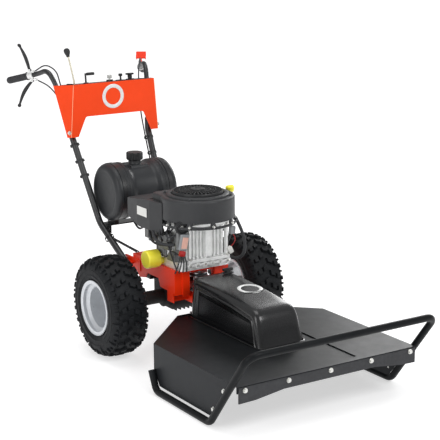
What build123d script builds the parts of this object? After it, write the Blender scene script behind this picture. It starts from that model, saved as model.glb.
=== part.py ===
from build123d import *
from math import cos, sin, radians, sqrt, tan
import os

os.makedirs("parts", exist_ok=True)

# ---------------------------------------------------------------------------
# Walk-behind brush mower with a 30-inch deck.
# Frame: +Z up, deck and bumper towards -Y, handlebars towards +Y, +X is the
# operator's left.  Origin on the ground under the middle of the whole machine.
# All sizes in millimetres.
# ---------------------------------------------------------------------------

# Driving dimensions: whole machine
OVERALL_LENGTH = 2036.0        # bumper front to grip ends
AXLE_Y = 122.0                 # wheel axle, measured from the middle of the length
HALF_LENGTH = OVERALL_LENGTH / 2

# Driving dimensions: wheels
TYRE_RADIUS = 207.0
TYRE_WIDTH = 162.0
TREAD_WIDTH = 132.0
WHEEL_X = 328.5                # middle plane of each tyre
RIM_SEAT_RADIUS = 101.6        # 8-inch rim
RIM_FLANGE_RADIUS = 113.0
RIM_WIDTH = 150.0
AXLE_RADIUS = 12.7
RUNNING_GAP = 0.05

# Driving dimensions: chassis and driveline
PLATE_TOP = 360.0
PLATE_THICKNESS = 5.0
CHASSIS_HALF_WIDTH = 128.0
CHASSIS_FRONT_Y = AXLE_Y - 175
CHASSIS_REAR_Y = AXLE_Y + 165
CHASSIS_BOTTOM = 262.0
CRANK_Y = AXLE_Y - 150
INPUT_SHAFT_Y = AXLE_Y + 70
TRACTION_BELT_Z = 326.0
DRIVE_BELT_Z = 270.0
PIVOT_Z = 212.0
PIVOT_PIN_RADIUS = 12.0

# Driving dimensions: mowing deck
DECK_HALF_WIDTH = 397.0
DECK_FRONT_Y = AXLE_Y - 1036.0
DECK_SHOULDER_Y = AXLE_Y - 468.0
DECK_REAR_Y = AXLE_Y - 222.0
DECK_REAR_HALF_WIDTH = 145.0
DECK_TOP = 188.0
DECK_SKIRT_BOTTOM = 30.0
DECK_SHEET = 4.0
SPINDLE_Y = AXLE_Y - 634.0
BLADE_RADIUS = 381.0
BLADE_Z = 92.0
BUMPER_TUBE_RADIUS = 13.5
BUMPER_X = 410.8
BUMPER_TOP_Z = 326.0
BUMPER_CORNER_Y = AXLE_Y - 884.0

# Driving dimensions: handles and console
LEG_RADIUS = 14.0
BAR_RADIUS = 11.0
GRIP_RADIUS = 15.5
CONSOLE_SHEET = 3.0
CONSOLE_TOP_Z = 1034.0
CONSOLE_FRONT_Y = AXLE_Y + 533
CONSOLE_REAR_Y = AXLE_Y + 641
CONSOLE_TOP_REAR_Z = 1022.0


# ---------------------------------------------------------------------------
# Small helpers
# ---------------------------------------------------------------------------
def block(x0, x1, y0, y1, z0, z1):
    """Box between two corners."""
    size = Box(abs(x1 - x0), abs(y1 - y0), abs(z1 - z0))
    return Pos((x0 + x1) / 2, (y0 + y1) / 2, (z0 + z1) / 2) * size


def prism_z(points, z0, z1):
    """Upright prism over an outline of (x, y) points."""
    return extrude(Pos(0, 0, z0) * Polygon(*points, align=None), amount=z1 - z0, dir=(0, 0, 1))


def prism_x(points, x0, x1):
    """Prism along X over an outline of (y, z) points."""
    face = Plane.YZ * Polygon(*points, align=None)
    return extrude(Pos(x0, 0, 0) * face, amount=x1 - x0, dir=(1, 0, 0))


def rod(start, direction, radius, length):
    """Round bar that starts at a point and runs along a direction."""
    placed = Plane(origin=start, z_dir=direction)
    return placed * Cylinder(radius, length, align=(Align.CENTER, Align.CENTER, Align.MIN))


def rod_between(start, end, radius):
    run = Vector(*end) - Vector(*start)
    return rod(start, run, radius, run.length)


def ring(start, direction, outer, inner, length):
    """Tube section that starts at a point and runs along a direction."""
    step = Vector(*direction).normalized()
    cutter = rod(Vector(*start) - step, direction, inner, length + 2)
    return rod(start, direction, outer, length) - cutter


def hexagon(start, direction, across_flats, length):
    placed = Plane(origin=start, z_dir=direction)
    sketch = placed * RegularPolygon(across_flats / sqrt(3), 6)
    return extrude(sketch, amount=length)


def bent_tube(points, radii, outer, inner=0.0):
    """Tube along straight runs joined by tangent arcs."""
    path = FilletPolyline(*points, radius=radii) if radii else Polyline(*points)
    start = Plane(origin=path @ 0, z_dir=path % 0)
    solid = sweep(start * Circle(outer), path=path)
    if inner:
        solid = solid - sweep(start * Circle(inner), path=path)
    return solid


def largest_radii(points):
    """Bend radius for each corner: 0.45 of the shorter run over tan(half turn)."""
    radii = []
    for before, corner, after in zip(points, points[1:], points[2:]):
        first = Vector(*corner) - Vector(*before)
        second = Vector(*after) - Vector(*corner)
        turn = radians(first.get_angle(second))
        radii.append(round(0.45 * min(first.length, second.length) / tan(turn / 2), 1))
    return radii


def thick_line(points, thickness):
    """Closed outline of a sheet that follows a poly-line at half thickness each side."""
    left = []
    right = []
    count = len(points)
    for i, (u, v) in enumerate(points):
        normals = []
        for a, b in ((i - 1, i), (i, i + 1)):
            if a >= 0 and b < count:
                du = points[b][0] - points[a][0]
                dv = points[b][1] - points[a][1]
                size = sqrt(du * du + dv * dv)
                normals.append((-dv / size, du / size))
        nu = sum(n[0] for n in normals)
        nv = sum(n[1] for n in normals)
        scale = thickness / 2 * len(normals) / (nu * nu + nv * nv)
        if len(normals) == 1:
            scale = thickness / 2
        left.append((u + nu * scale, v + nv * scale))
        right.append((u - nu * scale, v - nv * scale))
    return left + right[::-1]


def spun_about_x(profile, centre, side=1):
    """Revolve an (axial, radial) outline about a line along X through the centre."""
    outline = [(side * axial, radial) for axial, radial in profile]
    face = Plane(origin=centre, x_dir=(1, 0, 0), z_dir=(0, -1, 0)) * Polygon(*outline, align=None)
    return revolve(face, Axis(centre, (1, 0, 0)), 360)


def spun_about_z(profile, x, y):
    """Revolve a (radial, height) outline about a vertical line."""
    face = Plane(origin=(x, y, 0), x_dir=(1, 0, 0), z_dir=(0, -1, 0)) * Polygon(*profile, align=None)
    return revolve(face, Axis((x, y, 0), (0, 0, 1)), 360)


def save(node, *solids):
    """Write one node; several separate solids go out as one group."""
    shape = solids[0] if len(solids) == 1 else Compound(children=list(solids))
    export_step(shape, f"parts/{node}.step")


def mirrored(solid):
    return mirror(solid, about=Plane.YZ)


# ---------------------------------------------------------------------------
# Wheels: tyre, rim, axle with hub, lug nuts
# ---------------------------------------------------------------------------
DISC_X = -24.0                 # wheel disc, measured from the tyre's middle plane
LUG_CIRCLE_RADIUS = 50.8
LUG_COUNT = 4
STUD_RADIUS = 6.0
HUB_FLANGE_RADIUS = 64.0


def tyre_outline():
    half_tread = TREAD_WIDTH / 2
    half = TYRE_WIDTH / 2
    seat = RIM_SEAT_RADIUS + 0.2
    outer = [(60, seat), (69.5, seat), (69.5, 114.5), (79, 128), (half, 150), (half - 1, 168)]
    outer += [(half - 6, 186), (half_tread, 199), (half_tread - 12, TYRE_RADIUS - 1.5)]
    inner = [(half_tread - 18, 191), (half - 16, 180), (half - 11, 160), (69, 128), (60, 112)]
    crown = [(0, TYRE_RADIUS), (-(half_tread - 12), TYRE_RADIUS - 1.5)]
    other_side = [(-a, r) for a, r in reversed(outer[:-1])]
    inner_other = [(-a, r) for a, r in reversed(inner)]
    return outer + crown + other_side + inner_other + [(0, 193)] + inner


def rim_solid(centre, side):
    half = RIM_WIDTH / 2
    seat = RIM_SEAT_RADIUS - 1.5
    flange = RIM_FLANGE_RADIUS
    barrel = [(half, flange), (half - 2.5, flange - 6), (half - 3.5, seat), (58, seat), (48, 86)]
    barrel += [(-48, 86), (-58, seat), (-half + 3.5, seat), (-half + 2.5, flange - 6), (-half, flange)]
    drum = spun_about_x(thick_line(barrel, 3.0), centre, side)
    disc_line = [(DISC_X - 10, 85.5), (DISC_X - 2, 80), (DISC_X, 70), (DISC_X, 27)]
    disc = spun_about_x(thick_line(disc_line, 4.0), centre, side)
    solid = drum + disc
    for place in lug_places(centre, side, DISC_X - 6):
        solid -= rod(place, (side, 0, 0), STUD_RADIUS + 0.5, 12)
    return solid


def lug_places(centre, side, axial):
    x, y, z = centre
    places = []
    for i in range(LUG_COUNT):
        angle = radians(45 + 360 / LUG_COUNT * i)
        offset_y = LUG_CIRCLE_RADIUS * cos(angle)
        offset_z = LUG_CIRCLE_RADIUS * sin(angle)
        places.append((x + side * axial, y + offset_y, z + offset_z))
    return places


def axle_solid(centre, side):
    """Half shaft with hub flange, wheel studs and centre cap."""
    y, z = centre[1:]
    inner_end = 62.0
    flange_x = WHEEL_X + DISC_X - 2.2 - 10
    shaft = rod((side * inner_end, y, z), (side, 0, 0), AXLE_RADIUS, flange_x - inner_end + 10)
    flange = rod((side * flange_x, y, z), (side, 0, 0), HUB_FLANGE_RADIUS, 10)
    neck = rod((side * (flange_x - 30), y, z), (side, 0, 0), 24, 30)
    nose = rod((side * (flange_x + 9), y, z), (side, 0, 0), 23, 16)
    solid = shaft + flange + neck + nose
    for place in lug_places(centre, side, flange_x - WHEEL_X + 9):
        solid += rod(place, (side, 0, 0), STUD_RADIUS, 28)
    return solid


def lug_nuts(centre, side):
    nuts = []
    for place in lug_places(centre, side, DISC_X + 2.2):
        nut = hexagon(place, (side, 0, 0), 19, 13) - rod(place, (side, 0, 0), STUD_RADIUS + 0.02, 13)
        nuts.append(nut)
    return nuts


def make_wheel(prefix, side):
    centre = (side * WHEEL_X, AXLE_Y, TYRE_RADIUS)
    save(prefix + "_tyre", spun_about_x(tyre_outline(), centre, side))
    save(prefix + "_rim", rim_solid(centre, side))
    save(prefix + "_axle", axle_solid(centre, side))
    save(prefix + "_lug_nuts", *lug_nuts(centre, side))


# ---------------------------------------------------------------------------
# Chassis: folded frame, transaxle, pulleys and belts
# ---------------------------------------------------------------------------
AXLE_TUBE_RADIUS = 29.0
AXLE_TUBE_END = 222.0
CASE_HALF_WIDTH = 62.0
PIVOT_TUBE_RADIUS = 22.0
SIDE_WALL = 4.0


def chassis_frame():
    w = CHASSIS_HALF_WIDTH
    top = PLATE_TOP
    under = top - PLATE_THICKNESS
    front = CHASSIS_FRONT_Y
    rear = CHASSIS_REAR_Y
    frame = block(-w, w, front, rear, under, top)
    for side in (-1, 1):
        outline = [(front, CHASSIS_BOTTOM), (AXLE_Y - 60, CHASSIS_BOTTOM + 4), (AXLE_Y - 45, 300)]
        outline += [(AXLE_Y + 45, 300), (AXLE_Y + 60, 278), (AXLE_Y + 110, 268)]
        outline += [(rear, 318), (rear, under), (front, under)]
        wall = Plane.YZ * Polygon(*outline, align=None)
        frame += Pos(side * (w - SIDE_WALL / 2), 0, 0) * extrude(wall, amount=SIDE_WALL / 2, both=True)
    frame += block(-w, w, front, front + SIDE_WALL, CHASSIS_BOTTOM - 8, under)
    frame += block(-w, w, rear - SIDE_WALL, rear, 318, under)
    # window for the drive belt, and the hole for the crankshaft
    frame -= block(-60, 60, front - 1, front + SIDE_WALL + 1, DRIVE_BELT_Z - 16, TRACTION_BELT_Z + 16)
    frame -= rod((0, CRANK_Y, under - 1), (0, 0, 1), 46, 10)
    # bearing tube for the deck pivot, hung under the front plate
    frame += rod((0, front + 74, PIVOT_Z), (0, -1, 0), PIVOT_TUBE_RADIUS, 86)
    frame += block(-46, 46, front, front + SIDE_WALL, PIVOT_Z, CHASSIS_BOTTOM - 8)
    frame += block(-46, 46, front + 60, front + 66, PIVOT_Z, PIVOT_Z + 28)
    for side in (-1, 1):
        x0 = side * 46
        frame += block(x0 - side * 4, x0, front, front + 66, PIVOT_Z, PIVOT_Z + 28)
        frame += block(x0, side * w, front + 30, front + 36, PIVOT_Z + 10, PIVOT_Z + 28)
        frame += block(side * (w - 4), side * w, front + 10, front + 60, PIVOT_Z + 10, CHASSIS_BOTTOM + 6)
    bore = rod((0, front + 80, PIVOT_Z), (0, -1, 0), PIVOT_PIN_RADIUS + RUNNING_GAP, 100)
    frame -= bore
    # feet for the handle legs, welded on the side walls
    for side in (-1, 1):
        frame += block(side * w, side * (w + 37), AXLE_Y + 150, AXLE_Y + 228, 318, 324)
        frame += block(side * (w - 4), side * (w + 4), AXLE_Y + 100, AXLE_Y + 228, 296, 342)
    # engine bolt holes
    for x, y in engine_bolt_places():
        frame -= rod((x, y, under - 1), (0, 0, 1), 4.3, 10)
    # transaxle bolt holes
    for x, y in transaxle_bolt_places():
        frame -= rod((x, y, under - 1), (0, 0, 1), 4.3, 10)
    return frame


def engine_bolt_places():
    return [(sx * 106, CRANK_Y + 78 + sy * 76) for sx in (-1, 1) for sy in (-1, 1)]


def transaxle_bolt_places():
    return [(sx * 78, AXLE_Y + 148) for sx in (-1, 1)]


def transaxle_case():
    case = block(-CASE_HALF_WIDTH, CASE_HALF_WIDTH, AXLE_Y - 62, AXLE_Y + 112, 150, 292)
    case = fillet(case.edges().filter_by(Axis.X), 34)
    case = fillet(case.edges().filter_by(Plane.YZ), 8)
    case += rod((-AXLE_TUBE_END, AXLE_Y, TYRE_RADIUS), (1, 0, 0), AXLE_TUBE_RADIUS, 2 * AXLE_TUBE_END)
    for side in (-1, 1):
        case += rod((side * 60, AXLE_Y, TYRE_RADIUS), (side, 0, 0), 46, 26)
        case += rod((side * 208, AXLE_Y, TYRE_RADIUS), (side, 0, 0), 36, 14)
    # seam flange round the middle of the case and cooling ribs below
    case += block(-4, 4, AXLE_Y - 70, AXLE_Y + 120, 186, 262)
    for i in range(5):
        x = -40 + 20 * i
        case += block(x - 2, x + 2, AXLE_Y - 40, AXLE_Y + 90, 144, 160)
    # rear legs of the case, bolted under the chassis plate
    for x, y in transaxle_bolt_places():
        case += block(x - 14, x + 14, AXLE_Y + 84, y + 12, 258, 276)
        case += block(0, x, AXLE_Y + 84, AXLE_Y + 104, 258, 276)
        case += block(x - 12, x + 12, y - 12, y + 12, 258, PLATE_TOP - PLATE_THICKNESS)
        case -= rod((x, y, 320), (0, 0, 1), 4.1, 60)
    case += rod((0, INPUT_SHAFT_Y, 280), (0, 0, 1), 20, 22)
    case -= rod((0, INPUT_SHAFT_Y, 262), (0, 0, 1), 8 + RUNNING_GAP, 60)
    bore = rod((-AXLE_TUBE_END - 1, AXLE_Y, TYRE_RADIUS), (1, 0, 0), AXLE_RADIUS + RUNNING_GAP, 163)
    case -= bore
    case -= mirrored(bore)
    return case


def vee_pulley_outline(bore, outer, middle, height, hub):
    """Outline (radial, height) of a pulley with one V groove."""
    half = height / 2
    groove = 6.0
    depth = 11.0
    points = [(bore, middle - half - hub), (bore + 9, middle - half - hub), (bore + 9, middle - half)]
    points += [(outer, middle - half), (outer, middle - groove), (outer - depth, middle - 3.2)]
    points += [(outer - depth, middle + 3.2), (outer, middle + groove), (outer, middle + half)]
    points += [(bore, middle + half)]
    return points


ENGINE_PULLEY_RADIUS = 52.0
TRACTION_PULLEY_RADIUS = 38.0
INPUT_PULLEY_RADIUS = 78.0
DECK_PULLEY_RADIUS = 66.0
CRANK_RADIUS = 12.7


def engine_pulley():
    lower = spun_about_z(vee_pulley_outline(CRANK_RADIUS, ENGINE_PULLEY_RADIUS, DRIVE_BELT_Z, 18,
            6), 0, CRANK_Y)
    upper = vee_pulley_outline(CRANK_RADIUS, TRACTION_PULLEY_RADIUS, TRACTION_BELT_Z, 18, 0)
    sleeve = ring((0, CRANK_Y, DRIVE_BELT_Z), (0, 0, 1), CRANK_RADIUS + 9, CRANK_RADIUS, 50)
    return lower + spun_about_z(upper, 0, CRANK_Y) + sleeve


def belt(y_front, radius_front, y_rear, radius_rear, z):
    """V-belt round two pulleys whose shafts are vertical and lie on the mid line."""
    pitch_front = radius_front - 5.5
    pitch_rear = radius_rear - 5.5
    thickness = 7.0
    half_width = 3.5

    def wrapped(extra):
        low = Pos(0, y_front) * Circle(pitch_front + extra)
        high = Pos(0, y_rear) * Circle(pitch_rear + extra)
        return make_hull([*low.edges(), *high.edges()])

    loop = wrapped(thickness / 2) - wrapped(-thickness / 2)
    return Pos(0, 0, z) * extrude(loop, amount=half_width, both=True)


def make_driveline():
    save("transaxle_case", transaxle_case())
    shaft = rod((0, INPUT_SHAFT_Y, 266), (0, 0, 1), 8, TRACTION_BELT_Z + 10 - 266)
    wheel = spun_about_z(vee_pulley_outline(7.9, INPUT_PULLEY_RADIUS, TRACTION_BELT_Z, 18, 0), 0,
            INPUT_SHAFT_Y)
    for i in range(5):
        angle = radians(72 * i)
        x = 42 * cos(angle)
        y = INPUT_SHAFT_Y + 42 * sin(angle)
        wheel -= rod((x, y, TRACTION_BELT_Z - 12), (0, 0, 1), 15, 24)
    save("transaxle_pulley", shaft + wheel)
    save("engine_pulley", engine_pulley())
    save("traction_belt", belt(CRANK_Y, TRACTION_PULLEY_RADIUS, INPUT_SHAFT_Y, INPUT_PULLEY_RADIUS,
            TRACTION_BELT_Z))
    save("drive_belt", belt(SPINDLE_Y, DECK_PULLEY_RADIUS, CRANK_Y, ENGINE_PULLEY_RADIUS, DRIVE_BELT_Z))


# ---------------------------------------------------------------------------
# Engine: V-twin with a vertical crankshaft
# ---------------------------------------------------------------------------
BLOWER_BOTTOM = 565.0
BLOWER_TOP = 655.0
BLOWER_RADIUS = 150.0
FAN_SCREEN_RADIUS = 104.0
CYLINDER_TURN = 45.0           # each bank points this far back from straight sideways
BANK_Z = 446.0
CASE_LOW = 360.0
CASE_HIGH = 552.0
BOLT_SEAT_Z = 384.0


def bank(side):
    """Local frame of a cylinder bank: z_dir points from the crank out to the head."""
    angle = radians(CYLINDER_TURN)
    outward = (side * cos(angle), sin(angle), 0)
    return Plane(origin=(0, CRANK_Y, BANK_Z), x_dir=(0, 0, 1), z_dir=outward)


def engine_block():
    sump = block(-118, 118, CRANK_Y - 60, CRANK_Y + 186, CASE_LOW, 396)
    sump = fillet(sump.edges().filter_by(Axis.Z), 26)
    case = block(-84, 92, CRANK_Y - 58, CRANK_Y + 96, 390, CASE_HIGH)
    case = fillet(case.edges().filter_by(Axis.Z), 20)
    body = sump + case
    # upright ribs on the front face
    for i in range(9):
        x = -62 + 16.5 * i
        body += block(x - 2.5, x + 2.5, CRANK_Y - 66, CRANK_Y - 50, 404, 532)
    body += block(-80, 88, CRANK_Y - 68, CRANK_Y - 50, 392, 404)
    # cylinders with cooling fins
    for side in (-1, 1):
        plane = bank(side)
        body += plane * extrude(Rectangle(80, 76), amount=120)
        for i in range(7):
            fin = Pos(0, 0, 62 + 8.5 * i) * Box(92, 92, 3)
            body += plane * fin
        # lug on the case for the cowl's front foot
        edge = 92 if side > 0 else -84
        body += block(edge, side * 126, CRANK_Y - 40, CRANK_Y - 24, 528, 540)
    # flat seats for the heads
    for side in (-1, 1):
        body -= bank(side) * (Pos(0, 0, 140) * Box(96, 96, 40))
    bore = rod((0, CRANK_Y, CASE_LOW - 1), (0, 0, 1), CRANK_RADIUS + RUNNING_GAP, CASE_HIGH - CASE_LOW + 2)
    body -= bore
    for x, y in engine_bolt_places():
        body -= rod((x, y, CASE_LOW - 1), (0, 0, 1), 4.1, 40)
        body -= rod((x, y, BOLT_SEAT_Z), (0, 0, 1), 12, 14)
    return body


def cylinder_head(side):
    plane = bank(side)
    head = plane * (Pos(0, 0, 131) * Box(86, 86, 22))
    for i in range(3):
        head += plane * (Pos(0, 0, 123 + 8 * i) * Box(92, 92, 2.5))
    return head


def valve_cover(side):
    cover = Pos(0, 0, 142 + 9) * Box(76, 72, 18)
    cover = fillet(cover.edges().filter_by(Axis.Z), 12)
    cover = fillet(cover.faces().sort_by(Axis.Z)[-1].edges(), 6)
    return bank(side) * cover


def blower_housing():
    """Sheet cowl over the flywheel: a drum open below, with an intake hole on top."""
    outer = Pos(0, CRANK_Y) * Circle(BLOWER_RADIUS)
    skirt = Pos(0, CRANK_Y + 70) * RectangleRounded(276, 150, 30)
    outline = outer + skirt
    cowl = Pos(0, 0, BLOWER_BOTTOM) * extrude(outline, amount=BLOWER_TOP - BLOWER_BOTTOM)
    cowl = fillet(cowl.faces().sort_by(Axis.Z)[-1].edges(), 10)
    inner = Pos(0, CRANK_Y) * Circle(BLOWER_RADIUS - 4) + Pos(0,
            CRANK_Y + 70) * RectangleRounded(268, 142, 26)
    cowl -= Pos(0, 0, BLOWER_BOTTOM - 1) * extrude(inner, amount=BLOWER_TOP - BLOWER_BOTTOM - 3)
    cowl -= rod((0, CRANK_Y, BLOWER_TOP - 10), (0, 0, 1), 90, 20)
    # four feet that reach down to the crankcase
    for x, y, low in ((-78, 90, CASE_HIGH), (84, 90, CASE_HIGH), (-118, -32, 540), (118, -32, 540)):
        cowl += rod((x, CRANK_Y + y, low), (0, 0, 1), 6, BLOWER_TOP - low - 3)
    return cowl


def air_filter_cover():
    """Filter box on the operator's right, wrapped round the back of the cowl."""
    plan = [(-150, AXLE_Y - 120), (-162, AXLE_Y - 40), (-164, AXLE_Y + 60), (-158, AXLE_Y + 150)]
    plan += [(-128, AXLE_Y + 172), (30, AXLE_Y + 172), (56, AXLE_Y + 150), (56, AXLE_Y + 6)]
    plan += [(-120, AXLE_Y + 6), (-120, AXLE_Y - 120)]
    bulk = prism_z(plan, 505, 629)
    # roof falls towards the rear, floor rises towards the rear
    front = AXLE_Y - 30
    rear = AXLE_Y + 180
    bulk -= prism_x([(front, 629), (rear, 602), (rear, 660), (front, 660)], -300, 300)
    bulk -= prism_x([(AXLE_Y + 40, 504), (rear, 540), (rear, 480), (AXLE_Y + 40, 480)], -300, 300)
    corners = [e for e in bulk.edges().filter_by(Axis.Z) if e.center().Y > AXLE_Y + 100]
    bulk = fillet(corners, 8)
    bulk -= rod((0, CRANK_Y, 500), (0, 0, 1), BLOWER_RADIUS + 0.3, 140)
    return bulk - block(-138.3, 138.3, CRANK_Y - 10, AXLE_Y + 5.9, 500, 640)


def carburettor():
    body = block(-96, -36, AXLE_Y + 66, AXLE_Y + 118, 436, 500)
    body += rod((-66, AXLE_Y + 92, 500 - 76), (0, 0, 1), 24, 30)
    body += rod((-66, AXLE_Y + 40, 470), (0, 1, 0), 20, 70)
    body += block(-104, -96, AXLE_Y + 74, AXLE_Y + 104, 446, 486)
    return body - block(-90, -40, AXLE_Y - 2, AXLE_Y + 2, 440, 500)


def oil_filter():
    """Spin-on can on a short neck from the side of the sump."""
    y = AXLE_Y - 65
    can = fillet(rod((-140, y, 392), (-1, 0, 0), 37, 60).edges(), 6)
    return can + rod((-118.1, y, 378), (-1, 0, 0), 14, 26)


def dipstick():
    """Oil filler tube with a dipstick cap, on the operator's left of the engine."""
    x = 170.0
    y = AXLE_Y - 128
    points = [(94.2, CRANK_Y - 10, 420), (140, CRANK_Y - 12, 430), (x, y - 2, 500), (x, y + 1, 648)]
    tube = bent_tube(points, largest_radii(points), 7)
    cap = fillet(rod((x, y + 1, 640), (0, 0, 1), 19, 28).edges(), 4)
    return [tube, cap - tube]


def starter_motor():
    x = 52.0
    y = AXLE_Y + 34
    body = rod((x, y, 398), (0, 0, 1), 28, 88)
    body += rod((x, y, 486), (0, 0, 1), 14, 10)
    body += rod((x + 40, y + 12, 410), (0, 0, 1), 14, 62)
    body += block(x, x + 40, y + 4, y + 16, 424, 452)
    body += block(-16, 16, CRANK_Y + 96.2, y + 6, 412, 450)
    return body + block(-16, x, y - 10, y + 6, 412, 450)


def muffler():
    """Silencer across the rear left of the plate, with a pipe from the left head."""
    y = AXLE_Y + 92
    z = 406.0
    can = fillet(rod((100, y, z), (1, 0, 0), 32, 124).edges(), 8)
    points = [(202, y - 20, z), (206, y - 96, z + 4), (186, y - 150, z + 12), (128, y - 180, z + 18)]
    inlet = bent_tube(points, largest_radii(points), 10)
    outlet = ring((120, y + 28, z - 4), (0, 1, -0.15), 11, 9, 30)
    return can + (inlet - cylinder_bay(1)) + outlet


def cylinder_bay(side):
    """Space taken by one cylinder and head, used to trim parts that butt against it."""
    return bank(side) * (Pos(0, 0, 80) * Box(94, 92.4, 164))


def battery():
    x0 = -18
    box = block(x0, x0 + 92, CHASSIS_REAR_Y - 66, CHASSIS_REAR_Y - 4, PLATE_TOP, 428)
    box = fillet(box.edges().filter_by(Axis.Z), 3)
    for x in (x0 + 16, x0 + 76):
        box += rod((x, CHASSIS_REAR_Y - 20, 427), (0, 0, 1), 5, 9)
    return box


def ignition_leads():
    """Plug boot on the outer side of each head, and the lead up under the cowl."""
    turn = radians(CYLINDER_TURN)
    leads = []
    for side in (-1, 1):
        along = Vector(side * cos(turn), sin(turn), 0)
        outward = Vector(side * sin(turn), -cos(turn), 0)
        face = Vector(0, CRANK_Y, BANK_Z + 24) + along * 131 + outward * 46.3
        boot = rod(tuple(face), outward, 8, 18)
        tip = face + outward * 18.1
        bend = tip + outward * 20 + Vector(0, 0, 14)
        points = [tuple(tip), tuple(bend), (side * 156, CRANK_Y + 46, 512), (side * 122,
                CRANK_Y + 38, BLOWER_BOTTOM - 4)]
        leads += [boot, bent_tube(points, largest_radii(points), 3.5)]
    return leads


def make_engine():
    save("engine_block", engine_block())
    save("cylinder_heads", cylinder_head(-1), cylinder_head(1))
    save("valve_covers", valve_cover(-1), valve_cover(1))
    save("blower_housing", blower_housing())
    save("air_filter_cover", air_filter_cover() - ignition_leads())
    save("oil_filter", oil_filter())
    save("dipstick", *dipstick())
    save("starter_motor", starter_motor())
    crank = rod((0, CRANK_Y, DRIVE_BELT_Z - 20), (0, 0, 1), CRANK_RADIUS, 585 - DRIVE_BELT_Z + 20)
    save("crankshaft", crank)
    wheel = spun_about_z([(CRANK_RADIUS, 572), (112, 572), (112, 590), (30, 600), (CRANK_RADIUS,
            600)], 0, CRANK_Y)
    wheel -= rod((0, CRANK_Y, 560), (0, 0, 1), CRANK_RADIUS, 60)
    for i in range(14):
        blade = Pos(0, CRANK_Y) * (Rot(0, 0, 360 / 14 * i) * block(62, 108, -2, 2, 588, 622))
        wheel += blade
    save("flywheel", wheel)
    save("fan_screen", fan_screen())


def fan_screen():
    """Domed rotating screen over the intake, with a plain rim and a raised centre disc."""
    rim = [(84, 658), (FAN_SCREEN_RADIUS, 658), (FAN_SCREEN_RADIUS, 666), (98, 671)]
    dome = [(70, 677), (40, 681), (0, 682), (0, 676), (40, 676), (70, 672), (90, 667), (84, 664)]
    shell = spun_about_z(rim + dome, 0, CRANK_Y)
    for i in range(4):
        angle = radians(45 + 90 * i)
        shell += rod((58 * cos(angle), CRANK_Y + 58 * sin(angle), 600), (0, 0, 1), 5, 76)
    return shell


# ---------------------------------------------------------------------------
# Fuel tank, its straps and the fuel hose
# ---------------------------------------------------------------------------
TANK_Y = AXLE_Y + 366
TANK_Z = 586.0
TANK_DRUM_RADIUS = 124.0
TANK_WAIST_RADIUS = 112.0
TANK_HALF_LENGTH = 150.0
STRAP_X = 112.0


def fuel_tank():
    r = TANK_DRUM_RADIUS
    w = TANK_WAIST_RADIUS
    end = TANK_HALF_LENGTH
    half = [(0, w), (44, w), (54, w + 3), (62, r - 4), (68, r), (STRAP_X - 10, r), (STRAP_X - 10, r - 4)]
    half += [(STRAP_X + 10, r - 4), (STRAP_X + 10, r), (end - 18, r), (end - 5, r - 8), (end, r - 24)]
    half += [(end, 0)]
    other = [(-a, h) for a, h in reversed(half)]
    tank = spun_about_x(half + other[:-1], (0, TANK_Y, TANK_Z))
    neck = rod((0, TANK_Y, TANK_Z + w - 8), (0, 0, 1), 27, 24)
    tank += neck
    return tank - rod((0, TANK_Y, TANK_Z + w - 30), (0, 0, 1), 22, 70)


def fuel_cap():
    base = TANK_Z + TANK_WAIST_RADIUS + 16.3
    cap = rod((0, TANK_Y, base), (0, 0, 1), 36, 34)
    cap = fillet(cap.edges(), 6)
    for i in range(8):
        angle = radians(45 * i)
        cap -= rod((39 * cos(angle), TANK_Y + 39 * sin(angle), base - 1), (0, 0, 1), 8, 40)
    return cap


def tank_straps():
    """Band round each drum with a saddle block under it."""
    straps = []
    for side in (-1, 1):
        x = side * STRAP_X
        low = TANK_Z - TANK_DRUM_RADIUS
        band = ring((x - 9, TANK_Y, TANK_Z), (1, 0, 0), TANK_DRUM_RADIUS + 1.5, TANK_DRUM_RADIUS - 3.9, 18)
        foot = block(x - 9, x + 9, TANK_Y - 34, TANK_Y + 34, low - 12, low + 8)
        cutter = rod((x - 20, TANK_Y, TANK_Z), (1, 0, 0), TANK_DRUM_RADIUS - 3.9, 40)
        straps.append(band + foot - cutter)
    return straps


def tank_beam():
    """Cross plate under the tank with an arm down to each leg."""
    top = TANK_Z - TANK_DRUM_RADIUS - 12.1
    post = leg_at(top - 26)[0]
    half = post.X - LEG_RADIUS - 4
    beam = block(-half, half, TANK_Y - 30, TANK_Y + 30, top - 5, top)
    for side in (-1, 1):
        beam += block(side * (half - 4), side * half, post.Y - 18, TANK_Y + 30, top - 36, top)
        beam -= rod((side * (half - 8), post.Y, top - 20), (side, 0, 0), 4.1, 10)
    return beam


def fuel_hose():
    low = TANK_Z - TANK_WAIST_RADIUS
    points = [(-40, TANK_Y - 44, low + 12), (-40, TANK_Y - 50, low - 14), (-52, TANK_Y - 120, low - 40)]
    points += [(-66, AXLE_Y + 170, low - 6), (-66, AXLE_Y + 118.5, low)]
    hose = bent_tube(points, largest_radii(points), 4.5)
    return hose - fuel_tank()


# ---------------------------------------------------------------------------
# Handle legs, handlebars, grips and hand levers
# ---------------------------------------------------------------------------
LEG_FOOT_Z = 324.1
LEG_FOOT = Vector(149, AXLE_Y + 178, 311)
LEG_BEND = Vector(165, AXLE_Y + 386, 450)
LEG_KNEE = Vector(190, AXLE_Y + 578, 800)
BAR_BEND_LOW = Vector(226, AXLE_Y + 645, 1022)
BAR_BEND_TOP = Vector(244, AXLE_Y + 690, 1086)
BAR_BEND_GRIP = Vector(256, AXLE_Y + 758, 1064)
GRIP_TIP = Vector(338, HALF_LENGTH - GRIP_RADIUS, 1028)
SOCKET_DEPTH = 40.0
GRIP_LENGTH = 98.0
CLAMP_WIDTH = 12.0


def on_side(point, side):
    return (side * point.X, point.Y, point.Z)


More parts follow.
